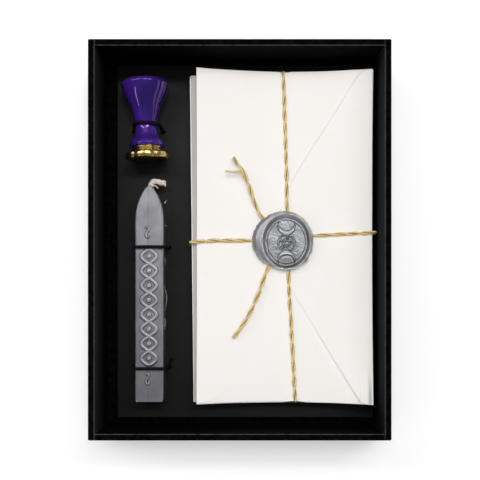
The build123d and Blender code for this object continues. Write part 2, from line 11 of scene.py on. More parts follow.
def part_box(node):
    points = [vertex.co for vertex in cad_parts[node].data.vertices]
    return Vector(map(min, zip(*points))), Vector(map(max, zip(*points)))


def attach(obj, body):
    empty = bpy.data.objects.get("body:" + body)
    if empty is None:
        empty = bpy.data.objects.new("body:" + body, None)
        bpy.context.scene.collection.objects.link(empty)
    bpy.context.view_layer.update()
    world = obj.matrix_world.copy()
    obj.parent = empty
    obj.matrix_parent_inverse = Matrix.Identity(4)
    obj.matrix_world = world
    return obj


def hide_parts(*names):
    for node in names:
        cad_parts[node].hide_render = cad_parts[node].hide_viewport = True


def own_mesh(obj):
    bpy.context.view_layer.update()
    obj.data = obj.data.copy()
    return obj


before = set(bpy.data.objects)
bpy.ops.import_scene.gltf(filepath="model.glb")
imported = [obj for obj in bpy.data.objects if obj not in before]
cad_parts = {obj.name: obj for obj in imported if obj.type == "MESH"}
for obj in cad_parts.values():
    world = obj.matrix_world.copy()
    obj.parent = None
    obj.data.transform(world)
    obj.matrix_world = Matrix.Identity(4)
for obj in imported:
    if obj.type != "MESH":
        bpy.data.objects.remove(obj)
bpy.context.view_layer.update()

bl_info = {
    "name": "Letter sealing set",
    "version": (1, 0, 0),
    "blender": (4, 5, 0),
    "location": "View3D > Sidebar > Sealing set",
    "description": "Makes the visible pieces of a stationery tray over its packed model",
    "category": "Object",
}

# Lengths are in metres, in the frame of the packed model: +X right, +Y towards the head of the tray, +Z up.

# The stamp's axis runs from the top of its handle to the face of its die.
STAMP_TOP = np.array((-0.0398, 0.070025, 0.0189842))
STAMP_ALONG = np.array((0.0338449, -0.9991906, -0.0217419))
DIE_FROM = 0.02985

# The radius of a ply of the twine, and how far its middle is from the twine's
TWINE_PLY = (0.00045, 0.00040)

# The loose ends of the twine, as steps from the knot
UPPER_END = [
    (-0.00215, 0.00145, 0.0), (-0.0066, 0.0049, 0.00005), (-0.0119, 0.00805, 0.0003), (-0.0144, 0.01345, 0.0011),
    (-0.0164, 0.0195, 0.0020), (-0.0180, 0.0239, 0.0027), (-0.0196, 0.0275, 0.0031), (-0.0218, 0.0300, 0.0033),
    (-0.0235, 0.0328, 0.0033),
]
LOWER_END = [
    (-0.00153, -0.0021, 0.0), (-0.0052, -0.0066, 0.00005), (-0.0084, -0.0115, 0.0003), (-0.0106, -0.0170, 0.0008),
    (-0.0125, -0.0230, 0.0014), (-0.0145, -0.0276, 0.0018), (-0.0167, -0.0322, 0.0020), (-0.0199, -0.0376, 0.0019),
    (-0.0235, -0.0425, 0.0014),
]

# Profiles round the stamp's axis, in millimetres: radius, then distance along it
HANDLE_PROFILE = [
    (8.3, 2.21), (8.9, 2.42), (9.3, 2.66), (9.68, 3.15), (9.85, 3.7), (9.88, 4.2), (9.8, 4.75), (9.62, 5.4),
    (9.2, 6.95), (8.57, 8.65), (7.73, 10.35), (6.9, 12.0), (6.1, 13.65), (5.64, 15.35), (5.23, 17.0),
    (4.81, 18.65), (4.6, 20.35), (4.6, 22.05), (4.81, 23.7), (5.23, 25.35), (5.85, 26.3), (6.48, 27.05),
    (7.03, 27.9), (7.32, 28.75), (7.2, 29.4), (6.9, 29.8), (3.6, 29.8),
]
DIE_COLLAR = [
    (2.55, 0), (6.0, 0), (6.25, 0.08), (6.35, 0.30), (6.35, 0.62), (6.22, 0.82), (5.92, 0.90), (5.85, 1.04),
    (6.00, 1.18), (6.22, 1.30), (6.28, 1.55), (6.18, 1.80), (6.06, 1.96), (6.12, 2.16), (6.40, 2.38), (6.90, 2.55),
]
DIE_FLANGE = [
    (6.6, 2.62), (8.0, 2.68), (8.72, 2.76), (8.90, 2.92), (8.97, 3.18), (8.97, 4.0), (8.97, 4.82), (8.90, 5.08),
    (8.72, 5.26), (8.4, 5.30), (8.2, 5.28),
]

# The two edges of each flap of the top envelope, from its fold to its point, in millimetres from the middle
FOOT_FLAP = (
    [
        (-36.6, -69.7), (-34.5, -69.7), (-32.0, -69.1), (-25.7, -64.8), (-19.4, -56.4), (-11.0, -42.7),
        (0.1, -23.7), (1.0, -22.4),
    ],
    [
        (36.6, -69.7), (34.5, -69.0), (31.0, -67.6), (25.0, -58.6), (18.0, -47.6), (10.0, -36.6), (2.5, -24.1),
        (1.4, -22.4),
    ],
)
SIDE_FLAP = (
    [
        (36.6, -69.7), (34.5, -70.0), (31.5, -69.0), (30.0, -66.8), (18.0, -47.4), (3.4, -23.2), (-2.0, -14.7),
        (-6.4, -7.6),
    ],
    [
        (36.6, 69.0), (35.0, 69.0), (33.0, 68.0), (31.2, 65.5), (20.0, 48.5), (6.0, 27.0), (-1.0, 16.0),
        (-6.4, -7.2),
    ],
)
HEAD_FLAP = (
    [(-36.6, 69.7), (-35.0, 69.0), (-31.8, 65.5), (-23.0, 48.0), (-13.0, 25.0), (-6.0, 9.0), (-3.0, 0.4)],
    [(36.6, 69.7), (34.5, 69.5), (30.9, 67.0), (20.5, 50.8), (4.8, 26.3), (-1.0, 12.4), (-2.6, 0.4)],
)

# The seal's outline: degrees round its middle, and millimetres from it
SEAL_OUTLINE = [
    (0, 11.5), (30, 11.7), (60, 12.3), (90, 12.95), (120, 13.4), (150, 14.2), (175, 14.33), (195, 14.1),
    (220, 13.0), (240, 12.2), (265, 11.8), (281, 12.1), (302, 11.9), (316, 12.4), (335, 11.6), (360, 11.5),
]
# Dents in it: the degree, how many degrees wide, how many millimetres deep
SEAL_DENTS = [(128, 5, 0.2), (235, 4, 0.35), (262, 3, 0.2), (274, 2.5, 0.2), (302, 5, 0.5), (330, 6, 0.2)]



def shade(red, green, blue):
    """The colour that shows on a screen as these values from 0 to 255."""
    part = (np.array((red, green, blue)) / 255 + 0.055) / 1.055
    return (*(part**2.4), 1.0)


# ---- settings a user would change ----


def tint(name, description, default):
    """A colour setting."""
    look = {"subtype": "COLOR", "size": 4, "min": 0, "max": 1}
    return FloatVectorProperty(name=name, description=description, default=default, **look)


def amount(name, description, default, unit="LENGTH"):
    """A number setting."""
    return FloatProperty(name=name, description=description, default=default, unit=unit)


class TraySettings(bpy.types.PropertyGroup):
    """The tray and the card insert."""

    wrap_colour: tint("Wrap", "Colour of the covering paper", shade(6, 5, 5))
    board_colour: tint("Board", "Colour of the greyboard", shade(120, 114, 104))
    card_colour: tint("Card", "Colour of the folded insert", shade(8, 8, 10))
    tie_colour: tint("Ties", "Colour of the elastic cords", shade(10, 10, 10))
    tie_width: amount("Tie width", "Thickness of the cords", 0.0013)


class StampSettings(bpy.types.PropertyGroup):
    """The stamp."""

    lacquer_colour: tint("Lacquer", "Colour of the handle", shade(32, 25, 92))
    bloom_colour: tint("Bloom", "Tint of the lacquer where light goes deep into it", shade(72, 34, 140))
    brass_colour: tint("Brass", "Colour of the polished die", shade(238, 212, 146))
    patina_colour: tint("Patina", "Colour of the brass in its hollows", shade(150, 116, 58))


class WaxSettings(bpy.types.PropertyGroup):
    """The wax stick, its wick and the poured seal."""

    wax_colour: tint("Wax", "Colour of the moulded stick", shade(196, 195, 202))
    seal_colour: tint("Seal", "Colour of the poured wax", shade(202, 203, 207))
    wick_colour: tint("Wick", "Colour of the cotton", shade(238, 228, 220))
    relief_height: amount("Relief", "Height of the moulded ornament", 0.00045)


class BundleSettings(bpy.types.PropertyGroup):
    """The envelopes and their twine."""

    paper_colour: tint("Paper", "Colour of the envelopes", shade(246, 243, 241))
    twine_colour: tint("Twine", "Colour of the twine's lit fibres", shade(250, 228, 172))
    husk_colour: tint("Husk", "Colour of the twine's darker fibres", shade(212, 178, 112))
    ply_pitch: amount("Twist", "Length of one turn of the twine's two plies", 0.0128)


class StageSettings(bpy.types.PropertyGroup):
    """The floor, the lamps and the camera."""

    floor_colour: tint("Floor", "Colour of the floor", shade(243, 243, 243))
    camera_height: amount("Camera height", "Height of the camera above the floor", 0.364)
    overhead_power: amount("Overhead lamp", "Power of the lamp over the tray", 7.4, "POWER")
    left_power: amount("Left lamp", "Power of the lamp on the left", 2.0, "POWER")
    right_power: amount("Right lamp", "Power of the lamp on the right", 2.0, "POWER")
    flank_power: amount("Flank lamp", "Power of the low lamp that draws a line along the handle", 0.6, "POWER")
    head_power: amount("Head lamp", "Power of the wide soft lamp beyond the head of the tray", 0.9, "POWER")
    sky_strength: amount("Sky", "Strength of the light from all round", 0.15, "NONE")


# ---- finishes ----


def new_finish(name, **sockets):
    """A material with these sockets set on its shader; a socket's spaces are underscores."""
    material = bpy.data.materials.new(name)
    material.use_nodes = True
    shader = material.node_tree.nodes["Principled BSDF"]
    for socket, value in sockets.items():
        shader.inputs[socket.replace("_", " ")].default_value = value
    return material


def texture(material, scale, kind="Noise", stretch=(1, 1, 1), **sockets):
    """The strength of a texture that lies in the piece's own place, scale times to a metre."""
    nodes, links = material.node_tree.nodes, material.node_tree.links
    place = nodes.new("ShaderNodeTexCoord")
    lay = nodes.new("ShaderNodeMapping")
    lay.inputs["Scale"].default_value = stretch
    grain = nodes.new(f"ShaderNodeTex{kind}")
    grain.inputs["Scale"].default_value = scale
    for socket, value in sockets.items():
        grain.inputs[socket].default_value = value
    links.new(place.outputs["Object"], lay.inputs["Vector"])
    links.new(lay.outputs["Vector"], grain.inputs["Vector"])
    return grain.outputs["Distance" if kind == "Voronoi" else "Fac"]


def spread(material, strength, low, high):
    """A number that runs from 0 to 1 as a texture's strength runs from low to high."""
    span = material.node_tree.nodes.new("ShaderNodeMapRange")
    span.inputs["From Min"].default_value = low
    span.inputs["From Max"].default_value = high
    material.node_tree.links.new(strength, span.inputs["Value"])
    return span.outputs["Result"]


def colour_by(material, share, first, second):
    """Colours the material from first to second with a share from 0 to 1."""
    nodes, links = material.node_tree.nodes, material.node_tree.links
    shader = nodes["Principled BSDF"]
    blend = nodes.new("ShaderNodeMix")
    blend.data_type = "RGBA"
    links.new(share, blend.inputs["Factor"])
    under = shader.inputs["Base Color"]
    if first is None:
        links.new(under.links[0].from_socket, blend.inputs[6])
    else:
        blend.inputs[6].default_value = first
    blend.inputs[7].default_value = second
    links.new(blend.outputs[2], under)


def gloss_by(material, share, low, high):
    """Varies the roughness from low to high with a share from 0 to 1."""
    nodes, links = material.node_tree.nodes, material.node_tree.links
    span = nodes.new("ShaderNodeMapRange")
    span.inputs["To Min"].default_value = low
    span.inputs["To Max"].default_value = high
    links.new(share, span.inputs["Value"])
    links.new(span.outputs["Result"], nodes["Principled BSDF"].inputs["Roughness"])


def raise_by(material, strength, depth):
    """Raises the surface by a texture's strength times a depth, on top of what raises it already."""
    nodes, links = material.node_tree.nodes, material.node_tree.links
    normal = nodes["Principled BSDF"].inputs["Normal"]
    bump = nodes.new("ShaderNodeBump")
    bump.inputs["Distance"].default_value = depth
    if normal.links:
        links.new(normal.links[0].from_socket, bump.inputs["Normal"])
    links.new(strength, bump.inputs["Height"])
    links.new(bump.outputs["Normal"], normal)


def mark_of(material, name):
    """The strength of a mark that is kept on the piece's points."""
    mark = material.node_tree.nodes.new("ShaderNodeAttribute")
    mark.attribute_name = name
    return mark.outputs["Fac"]


def darker(colour, share):
    """A colour at a share of its strength."""
    return (*(share * part for part in colour[:3]), 1.0)


def reach_of(material, axis, start, end, signed=False):
    """How far a place is along an axis from a start to an end, from 0 to 1; its sign counts if it is signed."""
    nodes, links = material.node_tree.nodes, material.node_tree.links
    place, parts, size = (nodes.new(f"ShaderNode{kind}") for kind in ("TexCoord", "SeparateXYZ", "Math"))
    size.operation = "ABSOLUTE"
    links.new(place.outputs["Object"], parts.inputs[0])
    links.new(parts.outputs[axis], size.inputs[0])
    return spread(material, parts.outputs[axis] if signed else size.outputs[0], start, end)


def both(material, first, second, kind="MULTIPLY"):
    """Two shares made one, by this kind of sum."""
    joined = material.node_tree.nodes.new("ShaderNodeMath")
    joined.operation = kind
    for number, share in enumerate((first, second)):
        material.node_tree.links.new(share, joined.inputs[number])
    return joined.outputs[0]


def wrap_finish(colour):
    """Black covering paper with a fine leather grain, painted light and shade inside the long walls and a painted
    highlight along the rim.
    """
    paper = new_finish("Covering paper", Specular_IOR_Level=0.03)
    cloud = texture(paper, 420, Detail=6.0, Roughness=0.7)
    colour_by(paper, spread(paper, cloud, 0.38, 0.68), darker(colour, 0.2), darker(colour, 2.6))

    def band(axis, outer, rise, fall):
        """The share of a band of paper that ends at a reach along an axis."""
        first = reach_of(paper, axis, outer - rise[0], outer - rise[1])
        return both(paper, first, reach_of(paper, axis, outer - fall[0], outer - fall[1]))

    long_wall, short_wall = 0.0583, 0.0778
    inside = band("X", long_wall, (0.0007, 0.0005), (0.0001, 0.0002))
    # painted light on the inner long walls, fading down from the rim
    colour_by(paper, both(paper, inside, reach_of(paper, "Z", 0.008, 0.053)), None, shade(74, 74, 78))
    # painted shade: the right inner wall is darker than the left
    right = reach_of(paper, "X", -0.0577, 0.1521, signed=True)
    colour_by(paper, both(paper, inside, right), None, darker(colour, 0.6))
    # painted highlight along the inner edge of the rim, broken up by the grain
    lip_x = band("X", long_wall, (0.0006, 0.0004), (0, 0.0002))
    lip_y = band("Y", short_wall, (0.0006, 0.0004), (0, 0.0002))
    in_x, in_y = reach_of(paper, "X", 0.0582, 0.0580), reach_of(paper, "Y", 0.0777, 0.0775)
    lip = both(paper, both(paper, lip_x, in_y), both(paper, lip_y, in_x), "MAXIMUM")
    lip = both(paper, lip, reach_of(paper, "Z", 0.0343, 0.0347))
    colour_by(paper, both(paper, lip, spread(paper, cloud, 0.25, 0.5)), None, shade(72, 72, 70))
    mitre = both(paper, both(paper, lip_x, lip_y), spread(paper, cloud, 0.3, 0.6))
    colour_by(paper, mitre, None, shade(60, 60, 58))
    gloss_by(paper, spread(paper, cloud, 0.3, 0.7), 0.78, 0.95)
    raise_by(paper, texture(paper, 1500, "Voronoi"), 0.00008)
    raise_by(paper, cloud, 0.0001)
    return paper


def board_finish(colour):
    """Greyboard with flecks and the soft streaks of its making."""
    board = new_finish("Greyboard", Specular_IOR_Level=0.2)
    fleck = texture(board, 1800, stretch=(1, 1, 4), Detail=8.0)
    colour_by(board, spread(board, fleck, 0.35, 0.65), darker(colour, 0.75), darker(colour, 1.15))
    gloss_by(board, fleck, 0.8, 0.95)
    raise_by(board, fleck, 0.00006)
    return board


def card_finish(colour):
    """Satin black card with soft cloudy rub marks and a fine tooth."""
    card = new_finish("Black card", Specular_IOR_Level=0.4)
    rub = texture(card, 38, Detail=5.0, Roughness=0.62)
    tooth = texture(card, 2600, Detail=4.0)
    colour_by(card, spread(card, rub, 0.32, 0.72), darker(colour, 0.7), darker(colour, 1.5))
    gloss_by(card, spread(card, rub, 0.3, 0.7), 0.42, 0.6)
    raise_by(card, tooth, 0.00002)
    raise_by(card, rub, 0.0004)
    return card


def elastic_finish(colour):
    """Braided elastic cord."""
    elastic = new_finish("Elastic cord", Specular_IOR_Level=0.25)
    braid = texture(elastic, 3600, "Voronoi")
    colour_by(elastic, spread(elastic, braid, 0.1, 0.7), darker(colour, 1.5), darker(colour, 0.5))
    gloss_by(elastic, braid, 0.55, 0.8)
    raise_by(elastic, braid, -0.00012)
    return elastic


def lacquer_finish(colour, bloom):
    """Deep glossy lacquer with a violet bloom and a slight orange peel."""
    lacquer = new_finish(
        "Violet lacquer",
        Specular_IOR_Level=1.0,
        Specular_Tint=(0.70, 0.22, 1.0, 1.0),
        Coat_Weight=0.35,
        Coat_Roughness=0.03,
        Coat_IOR=1.5,
    )
    drift = texture(lacquer, 60, Detail=3.0)
    peel = texture(lacquer, 700, Detail=2.0)
    colour_by(lacquer, spread(lacquer, drift, 0.3, 0.75), colour, bloom)
    gloss_by(lacquer, drift, 0.06, 0.14)
    raise_by(lacquer, peel, 0.000012)
    return lacquer


def brass_finish(colour, patina):
    """Turned and polished brass with blotches of darker patina."""
    brass = new_finish("Brass", Metallic=1.0)
    stain = texture(brass, 350, Detail=7.0, Roughness=0.68)
    lines = texture(brass, 1300, stretch=(1, 0.12, 1), Detail=3.0)
    colour_by(brass, spread(brass, stain, 0.42, 0.72), colour, patina)
    gloss_by(brass, spread(brass, stain, 0.3, 0.75), 0.16, 0.34)
    raise_by(brass, lines, 0.00002)
    raise_by(brass, stain, 0.00003)
    return brass


def steel_finish():
    """Zinc plated steel."""
    steel = new_finish("Plated steel", Metallic=1.0)
    stain = texture(steel, 500, Detail=5.0)
    colour_by(steel, stain, shade(150, 150, 148), shade(196, 194, 186))
    gloss_by(steel, stain, 0.25, 0.45)
    raise_by(steel, stain, 0.00001)
    return steel


def wax_finish(name, colour):
    """Wax filled with silver mica: a soft metal shine with fine sparkle and small pits, with painted shade and
    highlights from its marks.
    """
    wax = new_finish(name, Metallic=1.0, Specular_IOR_Level=0.4)
    cloud = texture(wax, 130, Detail=5.0, Roughness=0.6)
    mica = texture(wax, 4200, Detail=3.0, Roughness=0.8)
    painted_shading = mark_of(wax, "painted_shading")
    colour_by(wax, spread(wax, cloud, 0.3, 0.7), darker(colour, 0.82), darker(colour, 1.12))
    # painted shade where the mark is under 0.5, painted highlight where it is over 0.5
    colour_by(wax, spread(wax, painted_shading, 0.5, 0.0), None, darker(colour, 0.16))
    colour_by(wax, spread(wax, painted_shading, 0.5, 1.0), None, darker(colour, 1.9))
    gloss_by(wax, spread(wax, mica, 0.3, 0.7), 0.28, 0.48)
    raise_by(wax, mica, 0.00003)
    raise_by(wax, cloud, 0.00012)
    return wax


def cotton_finish(colour):
    """Soft twisted cotton."""
    cotton = new_finish("Cotton", Specular_IOR_Level=0.1, Roughness=0.95, Sheen_Weight=0.3)
    fibre = texture(cotton, 2400, stretch=(1, 0.35, 1), Detail=5.0)
    colour_by(cotton, spread(cotton, fibre, 0.35, 0.7), darker(colour, 0.62), colour)
    gloss_by(cotton, fibre, 0.85, 1.0)
    raise_by(cotton, fibre, 0.00012)
    return cotton


def paper_finish(colour):
    """Uncoated envelope paper: faint clouds in its colour, a fine tooth and painted shadow where its marks are
    low.
    """
    paper = new_finish("Envelope paper", Specular_IOR_Level=0.18)
    cloud = texture(paper, 55, Detail=4.0)
    tooth = texture(paper, 1500, Detail=6.0, Roughness=0.7)
    warm = (colour[0], colour[1] * 0.985, colour[2] * 0.95, 1.0)
    colour_by(paper, spread(paper, cloud, 0.3, 0.7), warm, colour)
    # painted shadow where the mark is under 0.5
    colour_by(paper, spread(paper, mark_of(paper, "painted_shading"), 0.5, 0.0), None, shade(120, 112, 118))
    gloss_by(paper, tooth, 0.65, 0.85)
    raise_by(paper, tooth, 0.00002)
    return paper


def twine_finish(lit, husk):
    """Hemp twine: long fibres in two tones, with painted shade where its plies meet."""
    twine = new_finish("Hemp twine", Specular_IOR_Level=0.25, Sheen_Weight=0.15)
    fibre = texture(twine, 1500, Detail=6.0, Roughness=0.75)
    bands = texture(twine, 230, Detail=2.0)
    colour_by(twine, spread(twine, fibre, 0.38, 0.66), husk, lit)
    colour_by(twine, spread(twine, bands, 0.5, 0.85), None, darker(lit, 0.7))
    # painted shade where the plies meet
    colour_by(twine, spread(twine, mark_of(twine, "painted_shading"), 0.5, 0.0), None, darker(husk, 0.4))
    gloss_by(twine, fibre, 0.5, 0.75)
    raise_by(twine, fibre, 0.00014)
    return twine


# ---- shapes ----


def skin_over(rings, capped=(True, True)):
    """The points and faces of a skin over rings that each have the same number of points."""
    rings = np.asarray(rings, float)
    rows, count = rings.shape[:2]
    corner = np.arange(count)
    following = (corner + 1) % count
    strip = np.stack([corner, following, following + count, corner + count], 1)
    faces = (strip[None] + np.arange(rows - 1)[:, None, None] * count).reshape(-1, 4).tolist()
    if capped[0]:
        faces.append(corner.tolist())
    if capped[1]:
        faces.append((corner + (rows - 1) * count).tolist())
    return rings.reshape(-1, 3), faces


def make_piece(name, skins, finish, body, stands_for=(), crease=None, painted_shading=None):
    """A mesh of one or more skins, riding on a body and standing for nodes of the packed model. Its mark is 0.5 on
    its plain points, less where shade is painted and more where a highlight is painted."""
    faces, start = [], 0
    for points, corners in skins:
        faces += [[corner + start for corner in face] for face in corners]
        start += len(points)
    mesh = bpy.data.meshes.new(name)
    mesh.from_pydata(np.concatenate([points for points, _ in skins]).tolist(), [], faces)
    shell = bmesh.new()
    shell.from_mesh(mesh)
    bmesh.ops.recalc_face_normals(shell, faces=shell.faces)
    shell.to_mesh(mesh)
    shell.free()
    mesh.polygons.foreach_set("use_smooth", [True] * len(mesh.polygons))
    if crease:
        mesh.set_sharp_from_angle(angle=math.radians(crease))
    # the mark carries painted shade below 0.5 and painted highlights above it
    marks = [0.5] * len(mesh.vertices) if painted_shading is None else painted_shading.tolist()
    mesh.attributes.new("painted_shading", "FLOAT", "POINT").data.foreach_set("value", marks)
    mesh.materials.append(finish)
    piece = bpy.data.objects.new(name, mesh)
    bpy.context.scene.collection.objects.link(piece)
    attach(piece, body)
    if stands_for:
        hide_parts(*stands_for)
    return piece


def dress_node(node, finish):
    """Gives a carried-over node its finish."""
    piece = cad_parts[node]
    piece.data.materials.clear()
    piece.data.materials.append(finish)


def nurbs_line(name, route):
    """The points of the smooth line through a route, read from its NURBS curve."""
    curve = bpy.data.curves.new(name, "CURVE")
    curve.dimensions = "3D"
    curve.resolution_u = 32
    spline = curve.splines.new("NURBS")
    spline.points.add(len(route) - 1)
    for point, place in zip(spline.points, route):
        point.co = (*place, 1)
    spline.order_u = 3
    spline.use_endpoint_u = True
    holder = bpy.data.objects.new(name, curve)
    line = bpy.data.meshes.new_from_object(holder)
    points = np.array([vertex.co for vertex in line.vertices])
    bpy.data.objects.remove(holder)
    bpy.data.meshes.remove(line)
    return points


def steps_from(place, steps):
    """Places at steps in millimetres from a place."""
    return np.array(place) + 0.001 * np.array(steps)


def run_of(line):
    """How far along a line each of its points is."""
    return np.concatenate([[0], np.cumsum(np.linalg.norm(np.diff(line, axis=0), axis=1))])


def even_line(line, step):
    """The same line with points an even step apart."""
    run = run_of(line)
    at = np.linspace(0, run[-1], max(2, int(run[-1] / step)))
    return np.stack([np.interp(at, run, line[:, axis]) for axis in range(3)], 1)


def sides_of(line):
    """Two directions square to a line at each of its points, turning as little as they can."""
    tangents = np.gradient(line, axis=0)
    tangents /= np.linalg.norm(tangents, axis=1, keepdims=True)
    side = np.cross(tangents[0], (0.31, 0.2, 0.93))
    sides = []
    for tangent in tangents:
        side = side - tangent * side.dot(tangent)
        side /= np.linalg.norm(side)
        sides.append(side)
    sides = np.array(sides)
    return sides, np.cross(tangents, sides)


def tube(line, radius, count=12, ribs=0, ridge=0.0, twist=0.0):
    """A skin of a tube round a line. Ribs of a share of its radius may run along it, twisting."""
    sides, ups = sides_of(line)
    radius = np.broadcast_to(radius, len(line))
    turn = np.linspace(0, 2 * math.pi, count, endpoint=False)
    run = run_of(line)
    rings = []
    for place, side, up, size, at in zip(line, sides, ups, radius, run):
        round_it = size * (1 + ridge * np.cos(ribs * turn + twist * at))
        rings.append(place + np.outer(round_it * np.cos(turn), side) + np.outer(round_it * np.sin(turn), up))
    return skin_over(rings)


def waver(at, pace, seed):
    """A smooth random run, which changes over a length of pace."""
    return np.array([noise.noise((value / pace, 7.3 * seed, 0.5)) for value in at])


def plied(line, plies, ply_radius, offset, pitch, seed, step=0.00035, count=10):
    """The skins of a twisted yarn and the marks of their points: plies that turn round a line, each a little
    uneven, with painted shade where they meet."""
    line = even_line(line, step)
    sides, ups = sides_of(line)
    run = run_of(line)
    skins, marks = [], []
    for ply in range(plies):
        uneven = waver(run, 0.004, seed + ply)
        turn = 2 * math.pi * (run / pitch + ply / plies) + 0.9 * waver(run, 0.011, seed + 20)
        reach = offset * (1 + 0.35 * waver(run, 0.006, seed + 9 + ply))
        middle = line + (reach * np.cos(turn))[:, None] * sides + (reach * np.sin(turn))[:, None] * ups
        skins.append(tube(middle, ply_radius * (1 + 0.3 * uneven), count, ribs=3, ridge=0.09, twist=2200))
        off = np.linalg.norm(skins[-1][0].reshape(-1, count, 3) - line[:, None], axis=2).ravel()
        # painted shade on the points nearest the yarn's middle, where the plies meet
        marks.append(0.5 * ease((off - 0.7 * ply_radius) / (0.75 * ply_radius)))
    return skins, np.concatenate(marks)


def plain_marks(marks, skins):
    """Marks for all the points of some skins: those given, and plain ones for the skins after them."""
    rest = sum(len(points) for points, _ in skins) - len(marks)
    return np.concatenate([marks, np.full(rest, 0.5)])


def hairs(line, radius, reach, number, seed):
    """Skins of stray fibres that stand off a yarn."""
    rng = np.random.default_rng(seed)
    sides, ups = sides_of(line)
    skins = []
    for _ in range(number):
        at = rng.integers(2, len(line) - 2)
        turn = rng.uniform(0, 2 * math.pi)
        away = math.cos(turn) * sides[at] + math.sin(turn) * ups[at]
        along = (line[at + 1] - line[at - 1]) * rng.choice((-1, 1))
        along /= np.linalg.norm(along)
        length = reach * rng.uniform(0.5, 1.3)
        steps = np.linspace(0, 1, 5)[:, None]
        hair = line[at] + away * radius + steps * length * (0.85 * along) + steps**1.7 * length * 0.55 * away
        skins.append(tube(hair, 0.00004, 3))
    return skins


def ease(share):
    """A share from 0 to 1 that starts and ends gently."""
    share = np.clip(share, 0, 1)
    return share * share * (3 - 2 * share)


def through(points, count):
    """Count points of a smooth line through given points."""
    points = np.array(points, float)
    padded = np.vstack([2 * points[0] - points[1], points, 2 * points[-1] - points[-2]])
    line = []
    for share in np.linspace(0, len(points) - 1, count):
        at = min(int(share), len(points) - 2)
        t = share - at
        a, b, c, d = padded[at : at + 4]
        bent = (2 * a - 5 * b + 4 * c - d) * t**2 + (3 * b - a - 3 * c + d) * t**3
        line.append(0.5 * (2 * b + (c - a) * t + bent))
    return np.array(line)


def ripple(x, y, pace, seed):
    """A smooth random height over flat places."""
    flat = [noise.noise((a / pace, b / pace, 3.7 * seed)) for a, b in zip(np.ravel(x), np.ravel(y))]
    return np.array(flat).reshape(np.shape(x))


# ---- tray and card ----


class SEALSET_OT_tray(bpy.types.Operator):
    """Finish the boards, the covering paper and the floor paper of the tray"""

    bl_idname = "sealset.tray"
    bl_label = "Tray"

    def execute(self, context):
        settings = context.scene.sealset_tray
        wrap = wrap_finish(settings.wrap_colour)
        board = board_finish(settings.board_colour)
        for node in ("wrap_paper", "floor_liner", "base_sheet"):
            dress_node(node, wrap)
        dress_node("corner_stays", board_finish(shade(150, 112, 70)))
        for node in ("base_board", "wall_board_left", "wall_board_right", "wall_board_head", "wall_board_foot"):
            dress_node(node, board)
        return {"FINISHED"}


class SEALSET_OT_card(bpy.types.Operator):
    """Finish the folded card insert"""

    bl_idname = "sealset.card"
    bl_label = "Card insert"

    def execute(self, context):
        dress_node("insert_card", card_finish(context.scene.sealset_tray.card_colour))
        return {"FINISHED"}


def tie_skins(node, over_bend, radius, slip, seed):
    """A tie's cord and knot, round the tool and through the holes of its node; over the tool it slips in y."""
    low, high = (np.array(corner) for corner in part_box(node))
    middle = (low + high) / 2
    over = high[2] - radius
    card_and_half_cord, slip_from, slip_over = 0.00135, 0.0110, 0.006
    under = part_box("insert_card")[1].z - card_and_half_cord
    half, y = middle[0] - low[0] - radius, middle[1]
    if node == "wax_tie_lower":
        # its loose end widens its box
        half, y = 0.0075, low[1] + 0.00088
    middle_x = low[0] + radius + half
    bend = over_bend(half, over, under)
    route = [(middle_x + x, y + slip * ease((z - slip_from) / slip_over), z) for x, z in bend]
    line = even_line(nurbs_line("tie_route", route), 0.0004)
    size = radius * (1 + 0.06 * waver(run_of(line), 0.003, seed))
    skins = [tube(line, size, 12, ribs=6, ridge=0.05, twist=1900)]
    knot = steps_from(
        (middle_x, y, under),
        [(-1.1, -0.4, 0), (-0.2, 0.9, -0.7), (0.9, 0.1, -1.2), (0, -0.9, -1.0), (-0.7, 0, -0.3), (1.2, 0.5, 0)],
    )
    skins.append(tube(even_line(nurbs_line("tie_knot", knot), 0.0003), radius * 0.8, 10))
    return skins


def waist_bend(half, over, under):
    """Places along a tie round the handle's waist, from hole to hole."""
    right = [(0.0, over), (0.0030, over - 0.0001), (0.0051, over - 0.0022), (0.0058, over - 0.0055)]
    right += [(half - 0.0004, under + 0.004), (half, under + 0.0004), (half - 0.002, under), (0.0, under)]
    left = [(0.0, over), (-0.0027, over - 0.0001), (-0.0047, over - 0.0021), (-0.0052, over - 0.0055)]
    left += [(-half + 0.0009, under + 0.004), (-half, under + 0.0004), (0.002 - half, under), (0.0, under)]
    return left[::-1] + right


def flat_bend(half, over, under):
    """Places along a tie over the flat wax stick, from hole to hole."""
    edge = half - 0.0009
    right = [(0.0, over), (edge - 0.0016, over), (edge - 0.0002, over - 0.0001), (edge, over - 0.0014)]
    right += [(edge + 0.0001, over - 0.0050), (half, under + 0.0004), (half - 0.002, under), (0.0, under)]
    return [(-x, z) for x, z in reversed(right)] + right


class SEALSET_OT_ties(bpy.types.Operator):
    """Make the three elastic ties with their knots"""

    bl_idname = "sealset.ties"
    bl_label = "Ties"

    def execute(self, context):
        settings = context.scene.sealset_tray
        elastic = elastic_finish(settings.tie_colour)
        radius = settings.tie_width / 2
        card_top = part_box("insert_card")[1].z
        ties = (
            ("stamp_tie", waist_bend, 0.00085, "stamp_lift"),
            ("wax_tie_upper", flat_bend, -0.0005, "wax_lift"),
            ("wax_tie_lower", flat_bend, 0.0004, "wax_lift"),
        )
        for seed, (node, bend, slip, joint) in enumerate(ties):
            skins = tie_skins(node, bend, radius, slip, seed)
            if node == "wax_tie_lower":
                low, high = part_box(node)
                steps = [(-1.9, 0.9, -0.2), (-2.1, 0.8, 0.8), (-1.8, 2.6, 0.9), (-0.7, 5.0, 0.8)]
                end = steps_from((high.x, low.y, card_top), steps)
                skins.append(tube(even_line(nurbs_line("tie_end", end), 0.0003), radius * 0.9, 10))
            tie = make_piece(f"{node}_cord", skins, elastic, "insert", (node,))
            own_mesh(tie)
        return {"FINISHED"}


# ---- stamp ----


